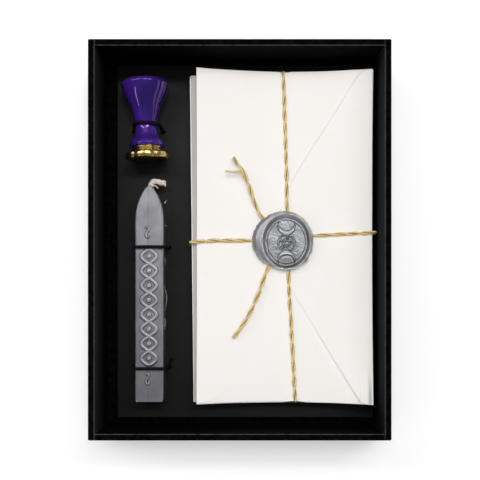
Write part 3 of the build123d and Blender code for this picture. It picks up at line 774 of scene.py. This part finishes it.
def on_stamp(distance, radius, turn):
    """Points at a distance along the stamp's axis, a radius off it and a turn round it."""
    side = np.cross(STAMP_ALONG, (0, 0, 1))
    side /= -np.linalg.norm(side)
    up = np.cross(STAMP_ALONG, side)
    distance, radius = np.broadcast_arrays(distance, radius)
    out = (radius * np.cos(turn))[..., None] * side + (radius * np.sin(turn))[..., None] * up
    return STAMP_TOP + distance[..., None] * STAMP_ALONG + out


def turned(profile, count, lobes=None):
    """A skin turned round the stamp's axis from (radius, distance) pairs; lobes shape each ring."""
    turn = np.linspace(0, 2 * math.pi, count, endpoint=False)
    rings = []
    for radius, distance in profile:
        shape = np.full(count, radius) if lobes is None else lobes(radius, turn)
        rings.append(on_stamp(np.full(count, distance), shape, turn))
    return skin_over(rings)


class SEALSET_OT_handle(bpy.types.Operator):
    """Make the stamp's turned and lacquered handle"""

    bl_idname = "sealset.handle"
    bl_label = "Handle"

    def execute(self, context):
        settings = context.scene.sealset_stamp
        lacquer = lacquer_finish(settings.lacquer_colour, settings.bloom_colour)
        dome, head = 0.0304, 0.00105
        radii = np.linspace(0.00001, 0.0080, 14)
        cap = [(radius, head + dome - math.sqrt(dome**2 - radius**2)) for radius in radii]
        body = through(0.001 * np.array(HANDLE_PROFILE), 170)
        skin = turned([*cap, *body], 128)
        make_piece("turned_handle", [skin], lacquer, "stamp", ("stamp_handle",))
        return {"FINISHED"}


def lobed(radius, turn):
    """A ring of six lobes, whose largest radius is given."""
    within = (turn - math.radians(4)) % (math.pi / 3) - math.pi / 6
    lobe, reach = 0.00604, 0.00318
    edge = reach * np.cos(within) + np.sqrt(lobe**2 - (reach * np.sin(within)) ** 2)
    notch = 0.00022 * np.exp(-(((np.abs(within) - math.pi / 6) / 0.045) ** 2))
    return edge - notch + radius - 0.00897


def figure_gap(x, y):
    """How far a place is outside the figure of a star in a ring between two crescents."""
    ring, ring_half, line_off, line_half, line_reach = 0.0034, 0.00015, 0.0010, 0.00014, 0.0031
    crescent, crescent_at, bite, bite_at = 0.0035, 0.0069, 0.0036, 0.0084
    gap = np.abs(np.hypot(x, y) - ring) - ring_half
    for point in range(5):
        turn = math.radians(12 + 72 * point)
        off = np.abs(x * math.cos(turn) + y * math.sin(turn) - line_off) - line_half
        along = np.abs(y * math.cos(turn) - x * math.sin(turn)) - line_reach
        gap = np.minimum(gap, np.maximum(off, along))
    for way in (-1, 1):
        outside = np.hypot(x, y - way * crescent_at) - crescent
        gap = np.minimum(gap, np.maximum(outside, bite - np.hypot(x, y - way * bite_at)))
    return gap


class SEALSET_OT_die(bpy.types.Operator):
    """Make the brass die with its engraved face, and finish the bush and the stud"""

    bl_idname = "sealset.die"
    bl_label = "Die"

    def execute(self, context):
        settings = context.scene.sealset_stamp
        brass = brass_finish(settings.brass_colour, settings.patina_colour)
        dress_node("handle_insert", brass)
        dress_node("die_stud", steel_finish())
        collar, flange = (
            [(0.001 * radius, DIE_FROM + 0.001 * distance) for radius, distance in profile]
            for profile in (DIE_COLLAR, DIE_FLANGE)
        )
        edge, face_at = 0.0082, DIE_FROM + 0.00528
        count = 288
        rim = turned(flange, count, lobed)
        turn = np.linspace(0, 2 * math.pi, count, endpoint=False)
        face_rings = []
        for radius in np.linspace(0.0080, 0.0001, 96):
            x, y = radius * np.cos(turn), radius * np.sin(turn)
            cut = 0.0005 * ease(0.5 - figure_gap(-x, y) / 0.00025)
            cut = cut + 0.00022 * ease(0.5 - (np.abs(radius - 0.0078) - 0.00012) / 0.0002)
            face_rings.append(on_stamp(face_at - cut, np.full(count, radius), turn))
        edge_ring = on_stamp(np.full(count, face_at), lobed(edge, turn), turn)
        face = skin_over([edge_ring, *face_rings], (False, True))
        skins = [turned(collar, 160), rim, face]
        make_piece("turned_die", skins, brass, "die", ("seal_die",), crease=50)
        return {"FINISHED"}


# ---- wax stick and wick ----


def flourish_gap(x, y):
    """How far a place is outside a small upright swash round the origin."""
    bends = [(-0.70, 2.05), (0.15, 2.35), (0.62, 1.6), (0.05, 0.55)]
    bends += [(-0.6, -0.55), (-0.5, -1.5), (0.15, -2.0), (0.75, -1.6)]
    places = through(0.001 * np.array(bends), 30)
    stroke = 0.00016 + 0.00018 * np.sin(math.pi * np.linspace(0, 1, 30))
    gaps = [np.hypot(x - px, y - py) - width for (px, py), width in zip(places, stroke)]
    return np.min(gaps, axis=0)


def plait_gap(x, y):
    """How far a place is outside two waves that plait round a row of beads; y is from the band's middle."""
    period, swing, band = 0.01215, 0.0031, 0.0243
    phase = 2 * math.pi * y / period
    slope = np.sqrt(1 + (swing * 2 * math.pi / period * np.cos(phase)) ** 2)
    strand, bead_radius = 0.00052, 0.00088
    first, second = (np.abs(x - way * swing * np.sin(phase)) / slope - strand for way in (1, -1))
    bead_y = (np.floor(y / (period / 2)) + 0.5) * period / 2
    bead = np.hypot(x, y - bead_y) - bead_radius
    return np.maximum(np.minimum(np.minimum(first, second), bead), np.abs(y) - band)


class SEALSET_OT_wax_stick(bpy.types.Operator):
    """Make the moulded stick of wax with its relief, seam and flash"""

    bl_idname = "sealset.wax_stick"
    bl_label = "Wax stick"

    def execute(self, context):
        settings = context.scene.sealset_wax
        low, high = (np.array(corner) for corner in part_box("wax_stick"))
        middle_x, bottom, top = (low[0] + high[0]) / 2, low[2], high[2]
        half, tip, length = (high[0] - low[0]) / 2, high[1], high[1] - low[1]
        nose, nose_radius, point, bow, foot = 0.00065, 0.002294, 0.0142, 0.0235, 0.0006
        across = np.concatenate([-np.linspace(0, 1, 44)[::-1], np.linspace(0, 1, 44)[1:]])
        back = np.concatenate([
            point * np.linspace(0, 1, 60) ** 2 + 0.00002,
            np.linspace(point, length - foot, 380)[1:],
            length - foot + foot * np.sin(np.linspace(0, math.pi / 2, 6))[1:],
        ])
        arc = np.linspace(0, math.pi / 2, 6)
        rings, painted_shading = [], []
        for distance in back:
            width = half
            if distance < nose:
                width = math.sqrt(nose_radius**2 - (nose_radius - distance) ** 2)
            elif distance < point:
                width = half - bow + math.sqrt(bow**2 - (point - distance) ** 2)
            left = length - distance
            if left < foot:
                width = half - foot + foot * math.sqrt(max(0, 1 - (1 - left / foot) ** 2))
            edge = min(0.0005, width * 0.6)
            x = across * (width - edge)
            y = tip - distance
            gap = np.full_like(x, 0.01)
            for flourish_y in (0.00405, -0.0570):
                if abs(y - flourish_y) < 0.004:
                    gap = flourish_gap(x + 0.0007, np.full_like(x, y - flourish_y))
            if -0.0520 < y < -0.0020:
                gap = plait_gap(x + 0.0001, np.full_like(x, y + 0.0270))
            raised = ease(0.5 - gap / 0.00035)
            crown = top - settings.relief_height * (1 - raised)
            seam = np.exp(-(((x + 0.0006) / 0.0002) ** 2)) * (1 - raised)
            crown -= 0.00003 * seam
            # painted shade in the hollow round the relief and along the seam, painted highlight on the relief's
            # tops and edges
            crown_painted_shading = 0.5 + 0.3 * raised - 0.4 * np.exp(-(((gap - 0.00022) / 0.00016) ** 2)) - 0.12 * seam
            crown_painted_shading += 0.22 * np.exp(-(((gap - 0.00002) / 0.00007) ** 2))
            flash = 0.00008 + 0.0003 * max(0, noise.noise((y / 0.006, 4.1, 0.2))) ** 1.2
            waist = (top + bottom) / 2
            side_x = width + np.array([0, flash if width > 0.003 else 0, 0])
            side_z = waist + np.array([0.0003, 0, -0.0003])
            right_x = [width - edge + edge * np.sin(arc[1:]), side_x, [width, width - edge * 0.3, width - edge]]
            right_z = [top - edge + edge * np.cos(arc[1:]), side_z, [bottom + edge, bottom + edge * 0.3, bottom]]
            right_x, right_z = np.concatenate(right_x), np.concatenate(right_z)
            ring_x = middle_x + np.concatenate([x, right_x, -right_x[::-1]])
            ring_z = np.concatenate([crown, right_z, right_z[::-1]])
            rings.append(np.stack([ring_x, np.full_like(ring_x, y), ring_z], 1))
            # a little painted shade on the sides, and a painted highlight on the rounded top edges
            side_painted_shading = np.full(len(ring_x) - len(x), 0.42)
            edge_highlight = 0.72 + 0.16 * noise.noise((y / 0.004, 1.3, 0.7))
            side_painted_shading[:4] = side_painted_shading[-4:] = edge_highlight
            painted_shading.append(np.concatenate([crown_painted_shading, side_painted_shading]))
        skins = [skin_over(rings)]
        # stray burrs on the right side: millimetres from the middle in x, along y, and up
        burrs = [
            [(5.8, 16.8, 15.0), (6.4, 17.6, 14.7), (6.7, 18.5, 14.3)],
            [(5.9, 7.5, 14.0), (6.5, 7.8, 13.7), (6.8, 7.4, 13.5)],
            [(5.8, -5.8, 15.0), (6.4, -7.0, 14.6), (6.2, -8.8, 14.0)],
            [(5.8, -17.5, 16.5), (6.8, -20.5, 15.8), (7.0, -25.0, 15.2), (5.8, -29.0, 15.0)],
            [(5.8, -31.0, 15.0), (6.6, -33.0, 14.6), (5.9, -36.5, 15.0)],
        ]
        for burr in burrs:
            line = nurbs_line("burr", steps_from((middle_x, 0, 0), burr))
            size = 0.00005 + 0.00018 * np.sin(np.linspace(0, math.pi, len(line)))
            skins.append(tube(line, size, 6))
        # the burrs get a painted highlight
        painted_shading.append(np.full(sum(len(points) for points, _ in skins[1:]), 0.85))
        wax = wax_finish("Silver wax", settings.wax_colour)
        painted_shading = np.concatenate(painted_shading)
        make_piece("moulded_stick", skins, wax, "wax", ("wax_stick",), crease=60, painted_shading=painted_shading)
        return {"FINISHED"}


class SEALSET_OT_wick(bpy.types.Operator):
    """Make the twisted cotton wick"""

    bl_idname = "sealset.wick"
    bl_label = "Wick"

    def execute(self, context):
        cotton = cotton_finish(context.scene.sealset_wax.wick_colour)
        low, high = (np.array(corner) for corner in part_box("wax_stick"))
        x, tip, z = (low[0] + high[0]) / 2, high[1], (low[2] + high[2]) / 2
        route = [
            (x, low[1] + 0.0052, z),
            (x, low[1] + 0.0300, z),
            *steps_from(
                (x, tip, z),
                [(0, -4, 0), (0.1, 0.4, 0), (0.4, 2, 0.1), (2.1, 2.7, 0.2), (4.1, 2.2, 0.1), (6.1, 1.7, -0.1)],
            ),
        ]
        line = nurbs_line("wick_route", route)
        skins, _ = plied(line, 3, 0.00066, 0.00056, 0.0062, 31)
        free = even_line(line, 0.00035)[-26:]
        skins += hairs(free, 0.0009, 0.0008, 14, 5)
        end = free[-1]
        spreads = ((0.0008, 0.0002), (-0.0007, 0.0004), (0.0, -0.0003), (-0.0011, -0.0002))
        for number, (side, rise) in enumerate(spreads):
            tuft = [end - (0.0016, 0, 0), end + (-0.0002, side * 0.6, rise * 0.5), end + (0.0003, side, rise)]
            skins.append(tube(nurbs_line("tuft", tuft), 0.00036, 8, ribs=3, ridge=0.2, twist=900 + number))
        strand = steps_from((x, tip, z), [(1.1, 0.6, 0.3), (1.8, 0.9, -0.6), (2.5, 0.5, -1.2), (3.0, -0.1, -1.6)])
        skins.append(tube(nurbs_line("strand", strand), 0.00030, 8, ribs=3, ridge=0.15, twist=1200))
        make_piece("cotton_wick", skins, cotton, "wax", ("wick",))
        return {"FINISHED"}


# ---- bundle ----

ENVELOPE_HALF_WIDTH = 0.0370
# from the middle to the head and to the foot
ENVELOPE_REACHES = (0.0700, 0.0705)
END_BITE = 0.0007
# how each envelope lies, from the lowest: shift in x, shift in y, turn in degrees
LAYS = (
    (-0.0023, -0.0005, 0.65), (-0.0018, -0.0004, 0.55), (0.0001, -0.0004, 0.05), (0.0001, -0.0002, 0), (0, 0, 0)
)


def bundle_middle():
    """The middle of the top envelope, and the height of the lowest envelope's underside."""
    low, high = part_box("envelope_5")
    return (low.x + high.x) / 2, (low.y + high.y) / 2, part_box("envelope_1")[0].z


def reach_at(across, along):
    """How far the ends of an envelope are from its middle; the twine draws them in."""
    reach = np.where(along > 0, *ENVELOPE_REACHES) - END_BITE * (1 - across**2)
    return reach - 0.0005 * np.exp(-(((across - np.where(along > 0, -0.01, 0.12)) / 0.06) ** 2))


def envelope_place(number, across, along):
    """Places on an envelope's underside from shares of its width and length, each from -1 to 1."""
    middle_x, middle_y, underside = bundle_middle()
    shift_x, shift_y, turn = LAYS[number - 1]
    x = across * ENVELOPE_HALF_WIDTH
    shrunk = 0.0012 if number < 3 else 0.0
    y = along * (reach_at(across, along) - shrunk)
    if number == 5:
        x = x - 0.0005 * np.clip(across, 0, 1) * np.clip(along, 0, 1) ** 3
        y = y - 0.0003 * across * np.abs(along) ** 3
    rise = 0.00005 + (0.0003 + (number - 1) * 0.0008) * along**2
    z = underside + (number - 1) * 0.0007 + rise * across**2
    turn = math.radians(turn)
    turned_x, turned_y = x * math.cos(turn) - y * math.sin(turn), x * math.sin(turn) + y * math.cos(turn)
    return np.stack([middle_x + shift_x + turned_x, middle_y + shift_y + turned_y, z], -1)


def folded_sheet(number):
    """The skin of an envelope: two layers of paper folded at the long edges, open at the slit between."""
    across = np.sin(np.linspace(-math.pi / 2, math.pi / 2, 41)) * 0.9985
    rows = np.linspace(-1, 1, 97)
    thickness = 0.0004 if number == 5 else 0.0006
    rings = []
    for along in rows:
        low = envelope_place(number, across, np.full_like(across, along))
        soft = 0.00005 * ripple(low[:, 0], low[:, 1], 0.012, number) * (1 - across**8)
        high = low + np.stack([np.zeros_like(soft), np.zeros_like(soft), thickness + soft], 1)
        fold = (high[-1] + low[-1]) / 2 + (0.0001, 0, 0)
        other = (high[0] + low[0]) / 2 - (0.0001, 0, 0)
        rings.append(np.vstack([low, fold, high[::-1], other]))
    return skin_over(rings)


def flap(edges, layer, lift):
    """The skin of a flap of the top envelope over its folded sheet: layer is its height over the sheet, and
    lift raises it by (across, out) shares."""
    rows, columns, thickness = 64, 36, 0.0001
    first, second = (through(0.001 * np.array(edge), rows) for edge in edges)
    rings = []
    for row, (start, end) in enumerate(zip(first, second)):
        share = np.linspace(0, 1, columns)[:, None]
        flat = start + (end - start) * share
        across = np.clip(flat[:, 0] / ENVELOPE_HALF_WIDTH, -1, 1)
        along = np.clip(flat[:, 1] / reach_at(across, flat[:, 1]), -1, 1)
        low = envelope_place(5, across, along)
        out = row / (rows - 1)
        low[:, 2] += 0.0004 + layer + lift(share[:, 0], out)
        high = low + (0, 0, thickness)
        rings.append(np.vstack([low, high[::-1]]))
    return skin_over(rings)


class SEALSET_OT_envelopes(bpy.types.Operator):
    """Make the five envelopes, the top one with its folded flaps"""

    bl_idname = "sealset.envelopes"
    bl_label = "Envelopes"

    def execute(self, context):
        paper = paper_finish(context.scene.sealset_bundle.paper_colour)
        for number in range(1, 5):
            sheet = folded_sheet(number)
            left = sheet[0][:, 0].min()
            # painted shadow on the left strip of the second envelope, beside the edge of the envelopes above it
            strip_shadow = 0.5 - 0.3 * (number == 2) * (sheet[0][:, 0] < left + 0.006)
            name, stands_for = f"folded_envelope_{number}", (f"envelope_{number}",)
            make_piece(name, [sheet], paper, "bundle", stands_for, crease=60, painted_shading=strip_shadow)
        foot = flap(
            FOOT_FLAP,
            0.00003,
            lambda across, out: 0.00028 * (1 - ease(across / 0.06)) * ease(out / 0.1) * ease((0.5 - out) / 0.2),
        )
        side = flap(
            SIDE_FLAP,
            0.00012,
            lambda across, out: 0.0024 * (1 - ease(across / 0.12)) * ease(out / 0.16) * ease((0.78 - out) / 0.6),
        )
        head = flap(
            HEAD_FLAP,
            0.00022,
            lambda across, out: -0.00018 * (1 - ease(across / 0.35)) + 0.00022 * ease((across - 0.86) / 0.14),
        )
        skins = [folded_sheet(5), foot, side, head]
        make_piece("folded_envelope_5", skins, paper, "bundle", ("envelope_5",), crease=60)
        return {"FINISHED"}


def knot_place():
    """The middle of the knot, at the height of the twine's middle on top of the bundle."""
    low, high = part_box("twine_knot")
    return np.array(((low.x + high.x) / 2, (low.y + high.y) / 2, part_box("twine_length")[1].z - 0.0008))


class SEALSET_OT_loose_ends(bpy.types.Operator):
    """Make the two loose ends of the twine"""

    bl_idname = "sealset.loose_ends"
    bl_label = "Loose ends"

    def execute(self, context):
        settings = context.scene.sealset_bundle
        twine = twine_finish(settings.twine_colour, settings.husk_colour)
        knot = knot_place()
        ends = (("upper_end", "twine_tail_upper", UPPER_END), ("lower_end", "twine_tail_lower", LOWER_END))
        for seed, (name, node, steps) in enumerate(ends):
            line = nurbs_line(name, knot + np.array(steps))
            skins, marks = plied(line, 2, *TWINE_PLY, settings.ply_pitch, 60 + 40 * seed)
            end = make_piece(name, skins, twine, "bundle", (node,), painted_shading=marks)
            fine = even_line(line, 0.00035)
            loose = hairs(fine, 0.0006, 0.0012, 34, 70 + seed)
            if node == "twine_tail_upper":
                steps = [(-17.6, 24.2, 2.5), (-18.9, 27, 2.9), (-20.6, 27, 3.3), (-23.7, 26.6, 3.6)]
                split = steps_from(knot, [*steps, (-26.9, 27.2, 3.5)])
                branch = even_line(nurbs_line("split_ply", split), 0.0003)
                size = 0.00040 * (1 + 0.3 * waver(run_of(branch), 0.003, 8))
                loose.append(tube(branch, size, 10, ribs=3, ridge=0.12, twist=900))
            fibres = make_piece(f"{name}_fibres", loose, twine, "bundle")
        return {"FINISHED"}


def over_edge(x, y, top, under):
    """Places where a loop of twine turns down over an edge of the bundle."""
    return [(x, y, z) for z in (top, top - 0.0014, under + 0.0014, under)]


class SEALSET_OT_twine(bpy.types.Operator):
    """Make the two loops of twine round the bundle, and the knot under the seal"""

    bl_idname = "sealset.twine"
    bl_label = "Twine"

    def execute(self, context):
        settings = context.scene.sealset_bundle
        twine = twine_finish(settings.twine_colour, settings.husk_colour)
        knot = knot_place()
        top, radius = knot[2], 0.0008
        laid = top + 0.00002
        head_y, foot_y, under = 0.0720, -0.0663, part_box("twine_length")[0].z + radius
        lengthwise = [
            (knot[0] + 0.0001, knot[1] + 0.0010, top), (0.0198, 0.0135, top), (0.01985, 0.0270, top),
            (0.0191, 0.0500, laid), (0.0184, head_y - 0.0016, laid),
            *over_edge(0.0183, head_y, top, under),
            (0.0184, head_y - 0.0020, under), (0.0209, 0.0027, under), (0.0234, foot_y + 0.0020, under),
            *over_edge(0.0234, foot_y, top, under)[::-1],
            (0.0233, foot_y + 0.0016, laid), (0.0224, -0.0480, laid), (0.0214, -0.0300, top),
            (0.0204, -0.0140, top), (knot[0], knot[1] - 0.0010, top),
        ]
        low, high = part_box("twine_cross")
        right_x, left_x, under = high.x - radius, -0.0205, low.z + radius
        crosswise = [
            (knot[0] + 0.0010, knot[1], top), (0.0300, 0.0032, top), (0.0420, 0.0038, laid),
            (right_x - 0.0016, 0.0045, laid),
            *over_edge(right_x, 0.0046, top, under),
            (right_x - 0.0020, 0.0045, under), (left_x + 0.0020, 0.0006, under),
            *over_edge(left_x, 0.0005, top, under)[::-1],
            (left_x + 0.0016, 0.0006, laid), (-0.0100, 0.0013, top), (0.0045, 0.0012, top),
            (0.0120, 0.0017, top), (knot[0] - 0.0010, knot[1], top),
        ]
        loops = (("lengthwise_twine", "twine_length", lengthwise), ("crosswise_twine", "twine_cross", crosswise))
        for seed, (name, node, route) in enumerate(loops):
            line = nurbs_line(name, route)
            skins, marks = plied(line, 2, *TWINE_PLY, settings.ply_pitch, 100 + 50 * seed)
            skins += hairs(even_line(line, 0.00035), 0.0006, 0.0013, 110, 90 + seed)
            make_piece(name, skins, twine, "bundle", (node,), painted_shading=plain_marks(marks, skins))
        turn = np.linspace(0, 5.2 * math.pi, 120)
        swell = 1 + 0.12 * np.sin(2.3 * turn)
        x, y = knot[0] + 0.0017 * swell * np.cos(turn), knot[1] + 0.0014 * swell * np.sin(turn)
        coil = np.stack([x, y, top - 0.00005 + 0.0005 * np.sin(1.5 * turn) ** 2], 1)
        skins, marks = plied(coil, 2, 0.00036, 0.00026, 0.006, 140)
        make_piece("tied_knot", skins, twine, "bundle", ("twine_knot",), painted_shading=marks)
        return {"FINISHED"}


class SEALSET_OT_seal(bpy.types.Operator):
    """Make the poured wax seal with its imprint"""

    bl_idname = "sealset.seal"
    bl_label = "Seal"

    def execute(self, context):
        settings = context.scene.sealset_wax
        box_low, box_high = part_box("wax_seal")
        middle = np.array((0.0195, 0.000525))
        base, height = box_low.z, box_high.z - box_low.z
        count = 420
        turn = np.linspace(0, 2 * math.pi, count, endpoint=False)
        degrees = np.degrees(turn)
        angles, reaches = np.array(SEAL_OUTLINE).T * ((1,), (0.001,))
        padded_angles = np.concatenate([angles[:-1] - 360, angles[:-1], angles[:-1] + 360])
        padded_reaches = np.tile(reaches[:-1], 3)
        outline = np.array([
            np.interp(degree + np.linspace(-9, 9, 7), padded_angles, padded_reaches).mean() for degree in degrees
        ])
        for at, wide, deep in SEAL_DENTS:
            outline -= 0.001 * deep * np.exp(-(((degrees - at) / wide) ** 2))
        outline += 0.00012 * np.array([noise.noise((6 * math.cos(t), 6 * math.sin(t), 1.5)) for t in turn])
        mouth, floor_edge, rim, line_ring, depth, stretch = 0.0101, 0.0089, 0.0104, 0.0080, 0.0015, 1.14
        rings, painted_shading = [], []
        for radius in np.concatenate([np.linspace(0.00005, 0.0088, 100), np.linspace(floor_edge, rim, 22)]):
            longer = 1 + (stretch - 1) * ease((radius - 0.0055) / 0.0022)
            x, y = radius * np.cos(turn), radius * np.sin(turn) * longer
            gap = figure_gap(x - 0.0001, y + 0.0005)
            relief = 0.0004 * ease(0.5 - gap / 0.0002)
            line = abs(radius - line_ring) - 0.00008
            relief = relief + 0.00022 * ease(0.5 - line / 0.00022)
            pits = 0.00006 * ripple(x, y, 0.0008, 3) + 0.0001 * ripple(x, y, 0.004, 5)
            wall = depth * ease((radius - floor_edge + 0.0003) / (mouth - floor_edge + 0.0003))
            z = base + height - depth + relief + pits + wall
            rings.append(np.stack([middle[0] + x, middle[1] + y, z], 1))
            # painted shade round the figure, on the fine ring and on one side of the recess wall; painted
            # highlight on the figure's tops and the other side of the wall
            dark = 0.5 * np.exp(-(((gap - 0.00022) / 0.00017) ** 2)) + 0.4 * math.exp(-((line / 0.00013) ** 2))
            facing = np.cos(turn + 0.5)
            dark = dark + 0.3 * np.clip(0.3 + facing, 0, 1) * math.exp(-(((radius - 0.0092) / 0.0005) ** 2))
            bright = 0.25 * ease(0.5 - gap / 0.00012)
            bright = bright + 0.5 * np.clip(0.3 - facing, 0, 1) * math.exp(-(((radius - 0.0096) / 0.0005) ** 2))
            painted_shading.append(np.clip(0.5 - dark + bright, 0, 1))
        mouth_x, mouth_y = rim * np.cos(turn), rim * stretch * np.sin(turn)
        edge_width = np.clip(0.8 * (outline - np.hypot(mouth_x, mouth_y)), 0.0006, 0.0030)
        for share in np.linspace(0, 1, 8)[1:]:
            x = mouth_x + share * ((outline - edge_width) * np.cos(turn) - mouth_x)
            y = mouth_y + share * ((outline - edge_width) * np.sin(turn) - mouth_y)
            z = base + height - 0.0001 * share + 0.00008 * ripple(x, y, 0.003, 6)
            rings.append(np.stack([middle[0] + x, middle[1] + y, z], 1))
            # a faint painted highlight on the flat rim
            painted_shading.append(np.full(count, 0.56))
        for bend in np.linspace(0, math.pi / 2, 15)[1:]:
            radius = outline - edge_width + edge_width * math.sin(bend)
            x, y = radius * np.cos(turn), radius * np.sin(turn)
            crinkle = 0.00035 * ripple(x, y, 0.0013, 7) * math.sin(bend) ** 3
            z = base + (height - 0.0001) * math.cos(bend) ** 0.75 + 0.00001
            x, y = x * (1 + crinkle / radius), y * (1 + crinkle / radius)
            rings.append(np.stack([middle[0] + x, middle[1] + y, z + np.zeros(count)], 1))
            # painted shade down the outer edge, deeper on one side
            painted_shading.append(np.clip(0.54 - (0.36 - 0.2 * np.cos(turn + 0.9)) * math.sin(bend) ** 2.2, 0, 1))
        seal = wax_finish("Poured wax", settings.seal_colour)
        painted_shading = np.concatenate(painted_shading)
        make_piece("poured_seal", [skin_over(rings)], seal, "bundle", ("wax_seal",), painted_shading=painted_shading)
        return {"FINISHED"}


# ---- stage ----


def add_lamp(name, place, size, power, aim=(-0.02, 0, 0.02)):
    """A rectangular lamp that shines from a place at the tray; its first size lies along the tray's width."""
    lamp = bpy.data.lights.new(name, "AREA")
    lamp.shape = "RECTANGLE"
    lamp.size, lamp.size_y = size
    lamp.energy = power
    holder = bpy.data.objects.new(name, lamp)
    holder.location = place
    back = (Vector(place) - Vector(aim)).normalized()
    wide = (Vector((1, 0, 0)) - back * back.x).normalized()
    holder.rotation_euler = Matrix((wide, back.cross(wide), back)).transposed().to_euler()
    bpy.context.scene.collection.objects.link(holder)
    return holder


def shown_share(tree):
    """1 for what the camera sees straight, in a shine or through glass, and 0 for what only lights."""
    path = tree.nodes.new("ShaderNodeLightPath")
    share = path.outputs["Is Camera Ray"]
    for kind in ("Is Glossy Ray", "Is Transmission Ray"):
        larger = tree.nodes.new("ShaderNodeMath")
        larger.operation = "MAXIMUM"
        tree.links.new(share, larger.inputs[0])
        tree.links.new(path.outputs[kind], larger.inputs[1])
        share = larger.outputs[0]
    return share


class SEALSET_OT_stage(bpy.types.Operator):
    """Make the floor, the lamps, the sky and the camera"""

    bl_idname = "sealset.stage"
    bl_label = "Stage"

    def execute(self, context):
        settings = context.scene.sealset_stage
        scene = context.scene
        camera = bpy.data.cameras.new("camera")
        # the focal length and the shifts are in pixels of a picture 480 wide
        picture, focus, right, up = 480, 825.9, 0.3, 65
        camera.sensor_width = 36
        camera.lens = focus / picture * camera.sensor_width
        camera.shift_x, camera.shift_y = right / picture, up / picture
        holder = bpy.data.objects.new("camera", camera)
        holder.location = (0, -0.026, settings.camera_height)
        scene.collection.objects.link(holder)
        scene.camera = holder

        floor = bpy.data.meshes.new("floor")
        far = 3.0
        floor.from_pydata([(-far, -far, 0), (far, -far, 0), (far, far, 0), (-far, far, 0)], [], [(0, 1, 2, 3)])
        plain = new_finish("Floor", Specular_IOR_Level=0.0, Roughness=1.0)
        shader = plain.node_tree.nodes["Principled BSDF"]
        shader.inputs["Base Color"].default_value = settings.floor_colour
        shader.inputs["Emission Color"].default_value = (1, 1, 1, 1)
        lift = plain.node_tree.nodes.new("ShaderNodeMath")
        lift.operation = "MULTIPLY"
        lift.inputs[1].default_value = 0.2
        plain.node_tree.links.new(shown_share(plain.node_tree), lift.inputs[0])
        plain.node_tree.links.new(lift.outputs[0], shader.inputs["Emission Strength"])
        floor.materials.append(plain)
        ground = bpy.data.objects.new("floor", floor)
        scene.collection.objects.link(ground)

        sky = bpy.data.worlds.new("sky")
        sky.use_nodes = True
        scene.world = sky
        nodes, links = sky.node_tree.nodes, sky.node_tree.links
        seen, lit = nodes["Background"], nodes.new("ShaderNodeBackground")
        seen.inputs["Strength"].default_value = 1.0
        seen.inputs["Color"].default_value = (1, 1, 1, 1)
        lit.inputs["Strength"].default_value = settings.sky_strength
        lit.inputs["Color"].default_value = (1, 1, 1, 1)
        either, place, height, low = (
            nodes.new(f"ShaderNode{kind}") for kind in ("MixShader", "TexCoord", "SeparateXYZ", "MapRange")
        )
        links.new(place.outputs["Generated"], height.inputs[0])
        links.new(height.outputs["Z"], low.inputs["Value"])
        low.inputs["From Min"].default_value = 0.32
        low.inputs["From Max"].default_value = 0.24
        share = nodes.new("ShaderNodeMath")
        share.operation = "MULTIPLY"
        links.new(shown_share(sky.node_tree), share.inputs[0])
        links.new(low.outputs["Result"], share.inputs[1])
        links.new(share.outputs[0], either.inputs["Fac"])
        links.new(lit.outputs["Background"], either.inputs[1])
        links.new(seen.outputs["Background"], either.inputs[2])
        links.new(either.outputs["Shader"], nodes["World Output"].inputs["Surface"])

        add_lamp("left_lamp", (-0.78, 0.41, 0.95), (0.90, 0.12), settings.left_power)
        add_lamp("right_lamp", (0.31, 0.35, 0.95), (0.64, 0.12), settings.right_power)
        add_lamp("flank_lamp", (-0.88, -0.55, 0.70), (0.10, 0.45), settings.flank_power)
        add_lamp("head_lamp", (-0.12, 0.50, 0.95), (0.90, 0.45), settings.head_power)
        overhead = add_lamp("overhead_lamp", (0.0, 0.09, 1.15), (0.46, 0.46), settings.overhead_power)
        overhead.visible_glossy = False
        scene.view_settings.view_transform = "Standard"
        return {"FINISHED"}


# ---- add-on ----

SETTINGS = {
    "sealset_tray": TraySettings,
    "sealset_stamp": StampSettings,
    "sealset_wax": WaxSettings,
    "sealset_bundle": BundleSettings,
    "sealset_stage": StageSettings,
}
OPERATORS = (
    SEALSET_OT_stage,
    SEALSET_OT_loose_ends,
    SEALSET_OT_tray,
    SEALSET_OT_card,
    SEALSET_OT_ties,
    SEALSET_OT_handle,
    SEALSET_OT_die,
    SEALSET_OT_wax_stick,
    SEALSET_OT_wick,
    SEALSET_OT_envelopes,
    SEALSET_OT_twine,
    SEALSET_OT_seal,
)


class SEALSET_PT_pieces(bpy.types.Panel):
    """Lists the settings and the pieces"""

    bl_label = "Sealing set"
    bl_idname = "SEALSET_PT_pieces"
    bl_space_type = "VIEW_3D"
    bl_region_type = "UI"
    bl_category = "Sealing set"

    def draw(self, context):
        for name, group in SETTINGS.items():
            box = self.layout.box()
            box.label(text=group.__doc__)
            for setting in group.__annotations__:
                box.prop(getattr(context.scene, name), setting)
        for operator in OPERATORS:
            self.layout.operator(operator.bl_idname)


def register():
    """Adds the settings, operators and panel to Blender."""
    for name, group in SETTINGS.items():
        bpy.utils.register_class(group)
        setattr(bpy.types.Scene, name, PointerProperty(type=group))
    for operator in OPERATORS:
        bpy.utils.register_class(operator)
    bpy.utils.register_class(SEALSET_PT_pieces)


def unregister():
    """Takes them out again."""
    bpy.utils.unregister_class(SEALSET_PT_pieces)
    for operator in reversed(OPERATORS):
        bpy.utils.unregister_class(operator)
    for name, group in SETTINGS.items():
        delattr(bpy.types.Scene, name)
        bpy.utils.unregister_class(group)


def main():
    """Makes every piece."""
    register()
    for operator in OPERATORS:
        group, action = operator.bl_idname.split(".")
        getattr(getattr(bpy.ops, group), action)()


if __name__ == "__main__":
    main()
